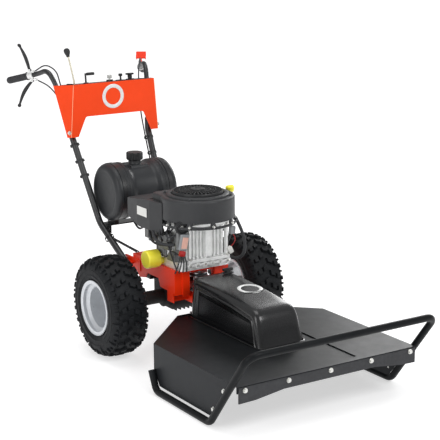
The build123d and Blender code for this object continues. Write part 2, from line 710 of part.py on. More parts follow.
def leg_at(z):
    """Point on the left leg's centre line at a height, and the leg's direction there."""
    low, high = (LEG_FOOT, LEG_BEND) if z < LEG_BEND.Z else (LEG_BEND, LEG_KNEE)
    return low + (high - low) * ((z - low.Z) / (high.Z - low.Z)), (high - low).normalized()


def behind_leg(side, z, lane, distance):
    """Point behind the leg at a height, moved inwards by a lane."""
    centre, along = leg_at(z)
    return (side * (centre.X - lane), centre.Y + distance * along.Z, centre.Z - distance * along.Y)


def bar_start():
    """Unit vector of the handlebar's lower run, and the point where the bar starts."""
    up = (BAR_BEND_LOW - LEG_KNEE).normalized()
    return up, LEG_KNEE + up * 12


def leg(side):
    """Leg tube with a socket at its top for the handlebar."""
    up, start = bar_start()
    top = start + up * SOCKET_DEPTH
    points = [on_side(p, side) for p in (LEG_FOOT, LEG_BEND, LEG_KNEE, top)]
    tube = bent_tube(points, [110, 30], LEG_RADIUS)
    socket = rod_between(on_side(start, side), on_side(top + up * 2, side), BAR_RADIUS + 0.02)
    below_foot = block(-300, 300, AXLE_Y, AXLE_Y + 260, 250, LEG_FOOT_Z)
    return tube - socket - below_foot


def handlebar(side):
    start = bar_start()[1]
    points = [start, BAR_BEND_LOW, BAR_BEND_TOP, BAR_BEND_GRIP, GRIP_TIP]
    points = [on_side(p, side) for p in points]
    low, top, grip_bend = largest_radii(points)
    return bent_tube(points, [low, top, 0.6 * grip_bend], BAR_RADIUS)


def grip_direction(side):
    out = (GRIP_TIP - BAR_BEND_GRIP).normalized()
    return Vector(side * out.X, out.Y, out.Z)


def grip_point(side, back):
    """Point on the grip's centre line, a distance back from the tip centre."""
    return Vector(*on_side(GRIP_TIP, side)) - grip_direction(side) * back


def grip(side):
    out = grip_direction(side)
    sleeve = rod(grip_point(side, GRIP_LENGTH), out, GRIP_RADIUS, GRIP_LENGTH)
    sleeve += Pos(*grip_point(side, 0)) * Sphere(GRIP_RADIUS)
    sleeve += rod(grip_point(side, GRIP_LENGTH), out, GRIP_RADIUS + 3, 5)
    for i in range(9):
        back = 14 + 9.5 * i
        sleeve -= ring(grip_point(side, back), out, GRIP_RADIUS + 1, GRIP_RADIUS - 0.8, 3)
    return sleeve - rod(grip_point(side, GRIP_LENGTH + 1), out, BAR_RADIUS + 0.02, GRIP_LENGTH + 1)


def lever_plane(side, back, drop):
    """Frame of a hand lever: origin at its pivot, X along the bar, Z across the bar."""
    out = grip_direction(side)
    flat = Vector(out.X, out.Y, 0).normalized()
    across = Vector(flat.Y, -flat.X, 0)
    pivot = grip_point(side, back) - Vector(0, 0, drop)
    return Plane(origin=pivot, x_dir=flat, z_dir=across)


PIVOT_RISE = 25.0
LEVER_PIN_RADIUS = 3.0
UPPER_CLAMP_BACK = GRIP_LENGTH + 7.0
LOWER_CLAMP_BACK = GRIP_LENGTH + 20.0
UPPER_LEVER_ANGLE = 66.0
LOWER_LEVER_ANGLE = -58.0
UPPER_LEVER_LENGTH = 122.0
LOWER_LEVER_LENGTH = 140.0


def clamp(side, back, rise):
    """Split clamp round the bar with two ears and a hinge pin; rise < 0 hangs below."""
    out = grip_direction(side)
    start = grip_point(side, back + CLAMP_WIDTH / 2)
    body = rod(start, out, BAR_RADIUS + 5, CLAMP_WIDTH)
    plane = lever_plane(side, back, -rise)
    sign = 1 if rise > 0 else -1
    for across in (-1, 1):
        ear = Pos(0, -sign * 6, across * 6.5) * Box(13, 20, 3)
        body += plane * ear
    body += plane * Pos(0, 0, 0) * Cylinder(LEVER_PIN_RADIUS, 22)
    body += plane * (Pos(-16.5, -sign * 7, 0) * Box(17, 6, 16))
    body += plane * (Pos(-24, -sign * 2, 0) * Rot(0, 90, 0) * Cylinder(4, 14))
    body += plane * (Pos(-22, -sign * 4, 0) * Box(6, 6, 8))
    return body - rod(grip_point(side, back + 40), out, BAR_RADIUS + 0.02, 80)


def hand_lever(side, back, rise, angle, length, width):
    """Lever blade on a hinge barrel, ending in a ball."""
    plane = lever_plane(side, back, -rise)
    barrel = Cylinder(6.5, 9.4)
    outline = [(0, -6.2), (0, 6.2), (length * 0.45, width * 0.5 + 1), (length, width * 0.42)]
    outline += [(length, -width * 0.42), (length * 0.45, -width * 0.5 - 1)]
    blade = prism_z(outline, -4, 4)
    knob = Pos(length, 0, 0) * Sphere(width * 0.62)
    lever = Rot(0, 0, angle) * (blade + knob) + barrel
    lever -= Cylinder(LEVER_PIN_RADIUS + RUNNING_GAP, 30)
    return plane * lever


def presence_lever(side):
    """Orange hooded paddle that the operator holds down."""
    plane = lever_plane(side, UPPER_CLAMP_BACK, -PIVOT_RISE)
    paddle = Pos(33, 0, 0) * Box(38, 16, 46)
    paddle = fillet(paddle.edges(), 3)
    paddle -= Pos(31, -5, 0) * Box(38, 12, 38)
    arm = Pos(9, 0, 0) * Box(18, 9, 9.4)
    lever = Rot(0, 0, 46) * (paddle + arm) + Cylinder(6.5, 9.4)
    lever -= Cylinder(LEVER_PIN_RADIUS + RUNNING_GAP, 60)
    return plane * lever


def make_handles():
    save("handle_legs", leg(-1), leg(1))
    save("handlebars", handlebar(-1), handlebar(1))
    save("grips", grip(-1), grip(1))
    clamps = [clamp(-1, UPPER_CLAMP_BACK, PIVOT_RISE), clamp(-1, LOWER_CLAMP_BACK, -PIVOT_RISE)]
    clamps.append(clamp(1, UPPER_CLAMP_BACK, PIVOT_RISE))
    save("lever_clamps", *clamps)
    upper = hand_lever(-1, UPPER_CLAMP_BACK, PIVOT_RISE, UPPER_LEVER_ANGLE, UPPER_LEVER_LENGTH, 11)
    lower = hand_lever(-1, LOWER_CLAMP_BACK, -PIVOT_RISE, LOWER_LEVER_ANGLE, LOWER_LEVER_LENGTH, 13)
    save("right_upper_lever", upper)
    save("right_lower_lever", lower)
    save("left_presence_lever", presence_lever(1))


# ---------------------------------------------------------------------------
# Console: folded shell, top plate and the controls on it
# ---------------------------------------------------------------------------
FRONT_HALF_TOP = 199.0
FRONT_HALF_LOW = 216.0
REAR_HALF = 243.0
CONSOLE_LOW_Z = 806.0
CONSOLE_WINDOW_Z = 892.0
TOP_SLOPE = (CONSOLE_TOP_Z - CONSOLE_TOP_REAR_Z) / (CONSOLE_REAR_Y - CONSOLE_FRONT_Y)


def console_side(side):
    """Flared side wall between the front plate and the handlebar."""
    front_top = Vector(side * FRONT_HALF_TOP, CONSOLE_FRONT_Y, CONSOLE_TOP_Z)
    rear_top = Vector(side * REAR_HALF, CONSOLE_REAR_Y, CONSOLE_TOP_REAR_Z)
    front_low = Vector(side * FRONT_HALF_LOW, CONSOLE_FRONT_Y, CONSOLE_LOW_Z)
    rear_low = front_low + (rear_top - front_top) * 0.2
    wire = Polyline(front_top, rear_top, rear_low, front_low, close=True)
    face = make_face(wire)
    inward = (rear_top - front_top).cross(front_low - front_top).normalized()
    if inward.X * side > 0:
        inward = inward * -1
    return extrude(face, amount=CONSOLE_SHEET, dir=inward)


def console_shell():
    outline = [(-FRONT_HALF_TOP, CONSOLE_TOP_Z), (FRONT_HALF_TOP, CONSOLE_TOP_Z)]
    outline += [(FRONT_HALF_LOW, CONSOLE_LOW_Z), (181, CONSOLE_LOW_Z), (142, CONSOLE_WINDOW_Z)]
    outline += [(-142, CONSOLE_WINDOW_Z), (-181, CONSOLE_LOW_Z), (-FRONT_HALF_LOW, CONSOLE_LOW_Z)]
    sketch = make_face(Polyline(*outline, close=True))
    corners = [v for v in sketch.vertices() if abs(v.Y - CONSOLE_WINDOW_Z) < 1]
    sketch = fillet(corners, 12)
    front = Plane(origin=(0, CONSOLE_FRONT_Y, 0), x_dir=(1, 0, 0), z_dir=(0, -1, 0)) * sketch
    shell = extrude(front, amount=-CONSOLE_SHEET)
    shell += console_side(-1) + console_side(1)
    up, start = bar_start()
    for side in (-1, 1):
        shell -= rod_between(on_side(LEG_KNEE, side), on_side(start + up * (SOCKET_DEPTH + 4),
                side), LEG_RADIUS + 0.8)
    # bracket and pin for the shift lever, on the right side wall
    pin_start = (SHIFT_X + 22, SHIFT_Y, SHIFT_PIVOT_Z)
    shell += block(SHIFT_X + 10, SHIFT_X + 13, CONSOLE_FRONT_Y + 1, SHIFT_Y + 14,
            SHIFT_PIVOT_Z - 14, SHIFT_PIVOT_Z + 14)
    shell += rod(pin_start, (-1, 0, 0), 5, 32)
    return shell


def top_height(y):
    return CONSOLE_TOP_Z - (y - CONSOLE_FRONT_Y) * TOP_SLOPE


def top_frame(x, y):
    """Frame on the sloping top plate: Z is the plate's outward normal."""
    return Plane(origin=(x, y, top_height(y) + 1), x_dir=(1, 0, 0), z_dir=(0, TOP_SLOPE, 1))


SHIFT_X = -178.0
SHIFT_Y = CONSOLE_FRONT_Y + 30
SHIFT_PIVOT_Z = 934.0
LOCK_X = -121.0
LOCK_Y = CONSOLE_FRONT_Y + 34
SWITCH_X = 112.0
SWITCH_Y = CONSOLE_FRONT_Y + 62
KEY_X = 10.0
KEY_Y = CONSOLE_FRONT_Y + 62
PAD_X = 158.0
PAD_Y = CONSOLE_FRONT_Y + 62
THROTTLE_X = 62.0
THROTTLE_Y = CONSOLE_FRONT_Y + 56


def console_top():
    """Black control plate: a lid with a rear lip, the shift gate and raised bezels."""
    w0 = FRONT_HALF_TOP - 3.5
    w1 = REAR_HALF - 34
    y0 = CONSOLE_FRONT_Y + CONSOLE_SHEET + 0.1
    y1 = CONSOLE_REAR_Y - 6
    plan = Polygon((-w0, y0), (w0, y0), (w1, y1), (-w1, y1), align=None)
    lid = Pos(0, 0, 980) * extrude(plan, amount=80)
    slab = Plane.YZ * Polygon(
        (y0 - 1, top_height(y0 - 1) - 3), (y1 + 1, top_height(y1 + 1) - 3),
        (y1 + 1, top_height(y1 + 1) + 1), (y0 - 1, top_height(y0 - 1) + 1), align=None)
    lid = lid & extrude(slab, amount=300, both=True)
    lip = Plane.YZ * Polygon((y1 - 3, 990), (y1, 990), (y1, top_height(y1)), (y1 - 3,
            top_height(y1)), align=None)
    lid += extrude(lip, amount=REAR_HALF - 36, both=True)
    # shift gate: a slot with notches, and a raised toothed rail beside it
    lid -= block(SHIFT_X - 6, SHIFT_X + 6, SHIFT_Y - 8, SHIFT_Y + 62, 990, 1060)
    for i in range(5):
        y = SHIFT_Y + 12 * i
        lid += top_frame(SHIFT_X - 12, y) * (Pos(0, 0, 1.5) * Box(3, 6, 5))
    for x, y, r, h in ((LOCK_X, LOCK_Y, 11, 5), (SWITCH_X, SWITCH_Y, 19, 5), (KEY_X, KEY_Y, 15, 8)):
        lid += top_frame(x, y) * Pos(0, 0, h / 2 - 1) * Cylinder(r, h)
    lid += top_frame(THROTTLE_X, THROTTLE_Y) * (Pos(0, 0, 1) * Box(22, 56, 4))
    lid -= top_frame(THROTTLE_X, THROTTLE_Y) * (Pos(0, 0, 0) * Box(6, 44, 30))
    for x, y, r in ((LOCK_X, LOCK_Y, 4), (SWITCH_X, SWITCH_Y, 8), (KEY_X, KEY_Y, 4)):
        lid -= top_frame(x, y) * Cylinder(r + RUNNING_GAP, 60)
    return lid + top_frame(PAD_X, PAD_Y) * (Pos(0, 0, 0.2) * Box(44, 50, 2))


def shift_rod():
    """Bent steel rod of the shift lever, the unit lean of its top run and its top end."""
    foot = Vector(SHIFT_X, SHIFT_Y, SHIFT_PIVOT_Z)
    knee = Vector(SHIFT_X, SHIFT_Y + 2, 1040)
    top = Vector(SHIFT_X - 6, SHIFT_Y + 42, 1150)
    shaft = bent_tube([tuple(foot), tuple(knee), tuple(top)], [60], 4)
    return shaft, (top - knee).normalized(), top


def shift_lever():
    """Shift rod welded to a hub that turns on the console's pin."""
    shaft = shift_rod()[0]
    hub = rod((SHIFT_X - 6, SHIFT_Y, SHIFT_PIVOT_Z), (1, 0, 0), 11, 12)
    bore = rod((SHIFT_X - 10, SHIFT_Y, SHIFT_PIVOT_Z), (1, 0, 0), 5 + RUNNING_GAP, 24)
    return shaft + hub - bore


def shift_knob():
    shaft, lean, top = shift_rod()
    start = top - lean * 16
    profile = [(0, 0), (7, 0), (10, 10), (14.5, 28), (14.5, 40), (11, 50), (5, 55), (0, 56)]
    frame = Plane(origin=start, x_dir=(1, 0, 0), z_dir=lean)
    spun = revolve(Plane.XZ * Polygon(*profile, align=None), Axis.Z, 360)
    return frame * spun - shaft


def lock_lever():
    """L-shaped rod with a sleeve handle for the wheel lock, turning in the top plate."""
    frame = top_frame(LOCK_X, LOCK_Y)
    post = Pos(0, 0, -30) * Cylinder(4, 74, align=(Align.CENTER, Align.CENTER, Align.MIN))
    arm = Pos(0, 0, 40) * Rot(0, 90, 0) * Cylinder(4, 38, align=(Align.CENTER, Align.CENTER, Align.MIN))
    sleeve = Pos(6, 0, 40) * Rot(0, 90, 0) * Cylinder(6.5, 36, align=(Align.CENTER, Align.CENTER,
            Align.MIN))
    return frame * (post + arm + fillet(sleeve.edges(), 2))


def blade_switch():
    """Push-pull blade switch with a wide mushroom head."""
    low = (Align.CENTER, Align.CENTER, Align.MIN)
    stem = Pos(0, 0, -24) * Cylinder(8, 44, align=low)
    flare = Pos(0, 0, 5.5) * Cylinder(10, 16, align=low)
    head = Pos(0, 0, 21) * Cylinder(19, 8, align=low)
    return top_frame(SWITCH_X, SWITCH_Y) * (stem + flare + fillet(head.edges(), 3))


def ignition_key():
    low = (Align.CENTER, Align.CENTER, Align.MIN)
    barrel = Pos(0, 0, -14) * Cylinder(4, 26, align=low)
    bow = Pos(0, 0, 20) * Box(22, 5, 16)
    bow = fillet(bow.edges().filter_by(Axis.Y), 5)
    return top_frame(KEY_X, KEY_Y) * (barrel + bow - Pos(0, 0, 24) * Rot(90, 0, 0) * Cylinder(2, 20))


def throttle_lever():
    """Flat lever in a slot; it turns on a pin under the top plate."""
    blade = Pos(0, 0, -2) * Box(4, 10, 52)
    pad = Pos(0, 0, 24) * Box(14, 16, 12)
    hub = Pos(0, 0, -28) * Rot(0, 90, 0) * Cylinder(8, 4)
    return top_frame(THROTTLE_X, THROTTLE_Y) * (blade + hub + fillet(pad.edges(), 3))


# ---------------------------------------------------------------------------
# Control cables, held along the legs by clips
# ---------------------------------------------------------------------------
CABLE_RADIUS = 3.0


def cable_to_chassis(head, side, lane, chassis_x):
    """Cable from the controls down the back of a leg to the chassis plate."""
    behind = LEG_RADIUS + CABLE_RADIUS + 1.5
    points = head + [behind_leg(side, z, lane, behind) for z in (760, 470, 418)]
    points += [(side * chassis_x, AXLE_Y + 158, PLATE_TOP + 3.6)]
    return bent_tube(points, largest_radii(points), CABLE_RADIUS)


def cable_start(side, back, rise):
    """Mouth of the cable barrel on a lever clamp."""
    sign = 1 if rise > 0 else -1
    return tuple((lever_plane(side, back, -rise) * Pos(-31.1, -sign * 2, 0)).position)


def control_cables():
    cables = []
    for side in (-1, 1):
        head = [cable_start(side, UPPER_CLAMP_BACK, PIVOT_RISE)]
        head += [(side * 238, AXLE_Y + 722, 1108), (side * 206, AXLE_Y + 680, 1082)]
        head += [(side * 192, AXLE_Y + 662, 1000), (side * 180, AXLE_Y + 628, 880)]
        cables.append(cable_to_chassis(head, side, 12, 104))
    head = [cable_start(-1, LOWER_CLAMP_BACK, -PIVOT_RISE)]
    head += [(-230, AXLE_Y + 716, 1014), (-206, AXLE_Y + 672, 970), (-198, AXLE_Y + 624, 870)]
    cables.append(cable_to_chassis(head, -1, 5.5, 114))
    return cables


def cable_clips():
    """Band clips round leg and cables."""
    clips = []
    for side in (-1, 1):
        for z in (400, 640, 700, 765):
            along = leg_at(z)[1]
            centre = behind_leg(side, z, 2.5, 5.5)
            clips.append(ring(centre, Vector(side * along.X, along.Y, along.Z), 21.2, 20.2, 8))
    return clips


# ---------------------------------------------------------------------------
# Mowing deck: shell, bumper, flap, belt hood, spindle and blade
# ---------------------------------------------------------------------------
STRIP_DEPTH = 4.0
STRIP_HALF_WIDTH = 145.0
STRIP_FRONT_Y = DECK_FRONT_Y + 32.0
HOOD_FRONT_Y = AXLE_Y - 748.0
HOOD_REAR_Y = AXLE_Y - 247.0
HOOD_REAR_TOP = 345.0
HOOD_SHEET = 3.5
FLAP_THICKNESS = 5.0
BUMPER_FRONT_Y = -HALF_LENGTH + BUMPER_TUBE_RADIUS
SPINDLE_RADIUS = 12.7
HOUSING_RADIUS = 34.0


def deck_plan(inset):
    """Plan outline of the deck: square front, straight sides, clipped rear corners."""
    half = DECK_HALF_WIDTH - inset
    rear_half = DECK_REAR_HALF_WIDTH - inset * 0.41
    points = [(-half, DECK_FRONT_Y), (half, DECK_FRONT_Y), (half, DECK_SHOULDER_Y - inset * 0.41)]
    points += [(rear_half, DECK_REAR_Y - inset), (-rear_half, DECK_REAR_Y - inset)]
    points += [(-half, DECK_SHOULDER_Y - inset * 0.41)]
    return Polygon(*points, align=None)


def riser_y(z):
    """Y of the sloping bumper riser's centre line at a height."""
    rise = BUMPER_TOP_Z - BUMPER_TUBE_RADIUS
    share = (z - BUMPER_TUBE_RADIUS) / rise
    return BUMPER_CORNER_Y + share * (BUMPER_FRONT_Y - BUMPER_CORNER_Y)


def deck_shell():
    top = DECK_TOP
    sheet = DECK_SHEET
    shell = Pos(0, 0, 60) * extrude(deck_plan(0), amount=top - 60)
    shell -= Pos(0, 0, 59) * extrude(deck_plan(sheet), amount=top - 59 - sheet)
    # the walls stop at the sloping line of the bumper riser, and the front is open
    slant = [(riser_y(0) + 10, 0), (riser_y(top) + 8, top - 1), (DECK_FRONT_Y - 20, top - 1),
            (DECK_FRONT_Y - 20, 0)]
    shell -= prism_x(slant, -DECK_HALF_WIDTH - 5, DECK_HALF_WIDTH + 5)
    shell -= block(-DECK_HALF_WIDTH + sheet, DECK_HALF_WIDTH - sheet, DECK_FRONT_Y - 1,
            DECK_FRONT_Y + 20, 0, top - 22)
    shell += block(-DECK_HALF_WIDTH, DECK_HALF_WIDTH, DECK_FRONT_Y, DECK_FRONT_Y + sheet, top - 24, top)
    # centre strip lies lower than the two wings
    strip = block(-STRIP_HALF_WIDTH, STRIP_HALF_WIDTH, STRIP_FRONT_Y, DECK_REAR_Y - sheet,
            top - STRIP_DEPTH, top + 1)
    tray = block(-STRIP_HALF_WIDTH - sheet, STRIP_HALF_WIDTH + sheet, STRIP_FRONT_Y - sheet,
            DECK_REAR_Y - 1,
                 top - STRIP_DEPTH - sheet, top - 1)
    shell = shell + tray - strip
    shell -= rod((0, SPINDLE_Y, 150), (0, 0, 1), HOUSING_RADIUS + 0.2, 60)
    # side plates reach down to the skids; their front edge follows the bumper riser
    front_low = riser_y(DECK_SKIRT_BOTTOM) + 10
    outline = [(DECK_SHOULDER_Y, top), (DECK_SHOULDER_Y, 92), (DECK_SHOULDER_Y - 40, DECK_SKIRT_BOTTOM)]
    outline += [(front_low, DECK_SKIRT_BOTTOM), (riser_y(top) + 8, top - 1)]
    for side in (-1, 1):
        shell += prism_x(outline, side * (DECK_HALF_WIDTH - sheet), side * DECK_HALF_WIDTH)
    # rear tongue that carries the pivot pin
    shell += block(-70, 70, DECK_REAR_Y - 60, CHASSIS_FRONT_Y - 18, top - STRIP_DEPTH - sheet,
            top - STRIP_DEPTH)
    shell += block(-52, 52, CHASSIS_FRONT_Y - 25, CHASSIS_FRONT_Y - 17, top - STRIP_DEPTH - sheet,
            PIVOT_Z + 26)
    yoke_y = CHASSIS_FRONT_Y - 20
    for x in (-48, 45):
        shell += prism_x([(yoke_y, top - 10), (yoke_y, PIVOT_Z + 22), (yoke_y - 58, top - 10)], x, x + 3)
    shell -= rod((0, CHASSIS_FRONT_Y - 30, PIVOT_Z), (0, 1, 0), PIVOT_PIN_RADIUS + 0.02, 40)
    for x, y, z in side_bolts():
        shell -= rod((-x - 5, y, z), (1, 0, 0), 4.1, 2 * x + 10)
    for place in flap_bolts():
        shell -= rod((place[0], place[1] - 10, place[2]), (0, 1, 0), 4.1, 30)
    return shell


def pivot_pin():
    """Deck pivot pin: shouldered head in the deck's plate, shank in the chassis tube."""
    start_y = CHASSIS_FRONT_Y - 25.05
    pin = rod((0, start_y, PIVOT_Z), (0, 1, 0), PIVOT_PIN_RADIUS, 116)
    pin += hexagon((0, start_y - 12, PIVOT_Z), (0, 1, 0), 30, 12)
    return pin + rod((0, start_y + 101, PIVOT_Z), (0, 1, 0), 20, 5)


def flap_bolts():
    """Bolt places along the front lip: five in a row, level with the flap."""
    spacing = (2 * DECK_HALF_WIDTH - 60) / 4
    return [(-DECK_HALF_WIDTH + 30 + spacing * i, DECK_FRONT_Y, DECK_TOP - 14) for i in range(5)]


def side_bolts():
    places = []
    for z in (150, 62):
        places.append((DECK_HALF_WIDTH, riser_y(z) + 34, z))
    return places


def bolt(start, direction, length=12.0, size=13.0):
    """Flanged hex bolt whose shank runs back through the sheet."""
    run = Vector(*direction)
    washer = rod(start, direction, size * 0.72, 2)
    head = hexagon(tuple(Vector(*start) + run * 2), direction, size, 5)
    shank = rod(tuple(Vector(*start) - run * length), direction, 4, length)
    return washer + head + shank


def deck_bolts():
    bolts = [bolt((x, y - FLAP_THICKNESS, z), (0, -1, 0), 16) for x, y, z in flap_bolts()]
    for x, y, z in side_bolts():
        bolts.append(bolt((x, y, z), (1, 0, 0), 3.9))
        bolts.append(bolt((-x, y, z), (-1, 0, 0), 3.9))
    return bolts


def front_flap():
    """Rubber flap bolted in front of the lip; deeper at its two ends."""
    half = DECK_HALF_WIDTH - 5
    top = DECK_TOP - 3
    outline = [(-half, top), (half, top), (half, DECK_TOP - 60), (half - 70, DECK_TOP - 58)]
    outline += [(half - 190, DECK_TOP - 42), (-half + 190, DECK_TOP - 42)]
    outline += [(-half + 70, DECK_TOP - 58), (-half, DECK_TOP - 60)]
    face = Plane(origin=(0, DECK_FRONT_Y - 0.05, 0), x_dir=(1, 0, 0), z_dir=(0, -1,
            0)) * Polygon(*outline, align=None)
    flap = extrude(face, amount=FLAP_THICKNESS - 0.1, dir=(0, -1, 0))
    for x, y, z in flap_bolts():
        flap -= rod((x, y - 10, z), (0, 1, 0), 4.02, 20)
    return flap


def bumper_points():
    x = BUMPER_X
    low = BUMPER_TUBE_RADIUS
    right = [(-x, DECK_SHOULDER_Y - 6, 88), (-x, DECK_SHOULDER_Y - 40, low), (-x, BUMPER_CORNER_Y, low)]
    right += [(-x, BUMPER_FRONT_Y, BUMPER_TOP_Z)]
    left = [(-px, py, pz) for px, py, pz in reversed(right)]
    return right + left


def bumper_frame():
    """One bent tube: skid, riser, bumper bar, riser, skid, with its fixing tabs."""
    frame = bent_tube(bumper_points(), [34, 44, 46, 46, 44, 34], BUMPER_TUBE_RADIUS)
    return frame


def hood_form(inset):
    """Solid form of the belt hood, or its hollow when inset by the sheet."""
    rear_y = HOOD_REAR_Y + (5 if inset else 0)
    front = HOOD_FRONT_Y + inset
    base = DECK_TOP - STRIP_DEPTH - (1 if inset else -0.05)
    rear_top = (rear_y, HOOD_REAR_TOP - inset)
    brow = (AXLE_Y - 672, 318 - inset)
    nose = (AXLE_Y - 712 + inset, 296 - inset * 0.5)
    with BuildSketch(Plane.YZ) as profile:
        with BuildLine():
            Polyline((front, base), (rear_y, base), rear_top)
            ThreePointArc(rear_top, (AXLE_Y - 470, 342 - inset), brow)
            ThreePointArc(brow, (AXLE_Y - 697 + inset * 0.7, 311 - inset * 0.9), nose)
            ThreePointArc(nose, (AXLE_Y - 736 + inset, 240), (front, base))
        make_face()
    form = extrude(profile.sketch, amount=130, both=True)
    low_half = 106 - inset
    high_half = 96 - inset
    section = Plane.XZ * Polygon((-low_half, base - 1), (low_half, base - 1), (high_half, 360),
            (-high_half, 360), align=None)
    return form & extrude(section, amount=1200, both=True)


def belt_hood():
    outer = hood_form(0)
    crest = [e for e in outer.edges() if e.center().Z > 290 and abs(e.center().X) > 60 and e.length > 30]
    crest = [e for e in crest if abs(e.center().Y - HOOD_REAR_Y) > 2]
    outer = fillet(crest, 12)
    shell = outer - hood_form(HOOD_SHEET)
    # rubber-latch bridge on the rear of the roof
    for x in (30, 78):
        shell += block(x - 3, x + 3, HOOD_REAR_Y - 42, HOOD_REAR_Y - 2, HOOD_REAR_TOP - 4,
                HOOD_REAR_TOP + 22)
    shell += rod((24, HOOD_REAR_Y - 24, HOOD_REAR_TOP + 14), (1, 0, 0), 6, 60)
    return shell


def spindle_housing():
    body = rod((0, SPINDLE_Y, 112), (0, 0, 1), HOUSING_RADIUS, 138)
    body += rod((0, SPINDLE_Y, DECK_TOP - STRIP_DEPTH + 0.05), (0, 0, 1), 88, 8)
    body += rod((0, SPINDLE_Y, DECK_TOP), (0, 0, 1), 48, 12)
    for i in range(6):
        angle = radians(60 * i + 30)
        x = 74 * cos(angle)
        y = SPINDLE_Y + 74 * sin(angle)
        body += hexagon((x, y, DECK_TOP - 1), (0, 0, 1), 15, 8)
        web = Plane(origin=(0, SPINDLE_Y, DECK_TOP - 1), x_dir=(cos(angle + 0.52),
                sin(angle + 0.52), 0), z_dir=(sin(angle + 0.52), -cos(angle + 0.52), 0))
        body += web * extrude(Polygon((30, 0), (80, 0), (34, 50), (30, 50), align=None), amount=3,
                both=True)
    return body - rod((0, SPINDLE_Y, 100), (0, 0, 1), SPINDLE_RADIUS + RUNNING_GAP, 200)


def mower_blade():
    """Flat bar blade with sharpened ends and lifted trailing edges."""
    half_width = 32.0
    bar = block(-BLADE_RADIUS + 6, BLADE_RADIUS - 6, SPINDLE_Y - half_width, SPINDLE_Y + half_width,
            BLADE_Z - 3, BLADE_Z + 3)
    bar = bar & rod((0, SPINDLE_Y, BLADE_Z - 10), (0, 0, 1), BLADE_RADIUS, 20)
    for side in (-1, 1):
        wedge = Polygon((-0.1, BLADE_Z - 4), (14, BLADE_Z - 4), (-0.1, BLADE_Z + 2.2), align=None)
        corner = Plane(origin=(side * 230, SPINDLE_Y - side * half_width, 0), x_dir=(0, side, 0),
                z_dir=(side, 0, 0))
        bar -= extrude(corner * wedge, amount=200)
        wing = block(side * 300, side * 366, SPINDLE_Y + side * (half_width - 1),
                SPINDLE_Y + side * (half_width - 7), BLADE_Z, BLADE_Z + 20)
        bar += wing
    bar += rod((0, SPINDLE_Y, BLADE_Z - 3), (0, 0, 1), 42, 14)
    return bar - rod((0, SPINDLE_Y, 0), (0, 0, 1), SPINDLE_RADIUS + 0.02, 200)


def spindle_shaft():
    shaft = rod((0, SPINDLE_Y, BLADE_Z - 12), (0, 0, 1), SPINDLE_RADIUS, DRIVE_BELT_Z + 22 - BLADE_Z + 12)
    shaft += hexagon((0, SPINDLE_Y, BLADE_Z - 26), (0, 0, 1), 38, 15)
    return shaft + rod((0, SPINDLE_Y, BLADE_Z - 12), (0, 0, 1), 34, 8.95)


def deck_pulley():
    wheel = spun_about_z(vee_pulley_outline(SPINDLE_RADIUS + 0.02, DECK_PULLEY_RADIUS, DRIVE_BELT_Z,
            18, 6), 0, SPINDLE_Y)
    for i in range(5):
        angle = radians(72 * i)
        wheel -= rod((36 * cos(angle), SPINDLE_Y + 36 * sin(angle), DRIVE_BELT_Z - 12), (0, 0, 1), 10, 24)
    return wheel


def make_deck():
    save("deck_shell", deck_shell())
    save("deck_pivot_pin", pivot_pin())
    save("bumper_frame", bumper_frame())
    save("front_flap", front_flap())
    save("belt_hood", belt_hood())
    save("deck_bolts", *deck_bolts())
    save("spindle_housing", spindle_housing())
    save("spindle_shaft", spindle_shaft())
    save("mower_blade", mower_blade())
    save("deck_pulley", deck_pulley())


def make_console():
    save("console_shell", console_shell())
    save("console_top", console_top())
    save("shift_lever", shift_lever(), shift_knob())
    save("lock_lever", lock_lever())
    save("blade_switch", blade_switch())
    save("ignition_key", ignition_key())
    save("throttle_lever", throttle_lever())
    save("control_cables", *control_cables())
    save("cable_clips", *cable_clips())


def make_tank():
    save("fuel_tank", fuel_tank())
    save("fuel_cap", fuel_cap())
    save("tank_mount", *tank_straps(), tank_beam())
    save("fuel_hose", fuel_hose())


def make_small_engine_parts():
    save("muffler", muffler())
    save("battery", battery())
    save("carburettor", carburettor())
    save("ignition_leads", *ignition_leads())
    bolts = [bolt((x, y, BOLT_SEAT_Z), (0, 0, 1), 38, 14) for x, y in engine_bolt_places()]
    save("engine_bolts", *bolts)


make_wheel("right", -1)
make_wheel("left", 1)
save("chassis_frame", chassis_frame())
make_driveline()
make_engine()
make_small_engine_parts()
make_tank()
make_handles()
make_console()
make_deck()
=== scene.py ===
import bpy
import bmesh
from math import sin, cos, pi, radians, sqrt
from mathutils import Vector, Matrix


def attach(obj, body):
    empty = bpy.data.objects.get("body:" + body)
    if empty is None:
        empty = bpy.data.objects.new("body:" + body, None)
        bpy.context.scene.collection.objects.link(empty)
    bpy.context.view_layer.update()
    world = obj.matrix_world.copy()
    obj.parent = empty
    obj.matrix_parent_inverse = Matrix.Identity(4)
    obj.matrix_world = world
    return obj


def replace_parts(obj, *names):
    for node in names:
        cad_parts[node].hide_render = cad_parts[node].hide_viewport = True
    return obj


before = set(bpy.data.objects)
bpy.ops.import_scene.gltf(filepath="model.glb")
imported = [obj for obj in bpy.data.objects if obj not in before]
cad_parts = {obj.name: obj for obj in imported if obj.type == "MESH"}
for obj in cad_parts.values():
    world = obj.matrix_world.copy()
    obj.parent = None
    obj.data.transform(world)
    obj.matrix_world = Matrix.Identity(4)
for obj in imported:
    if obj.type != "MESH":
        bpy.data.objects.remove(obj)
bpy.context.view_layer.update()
scene = bpy.context.scene
AXLE_Y = 0.122
CRANK_Y = -0.028
COWL_RADIUS = 0.150
COWL_LOW = 0.541
CRANKCASE_FRONT = -0.088
SUMP_BOLT_X = [(-86 + 36 * i) * 0.001 for i in range(6)]
TANK = Vector((0, 0.488, 0.586))
MM = 0.001


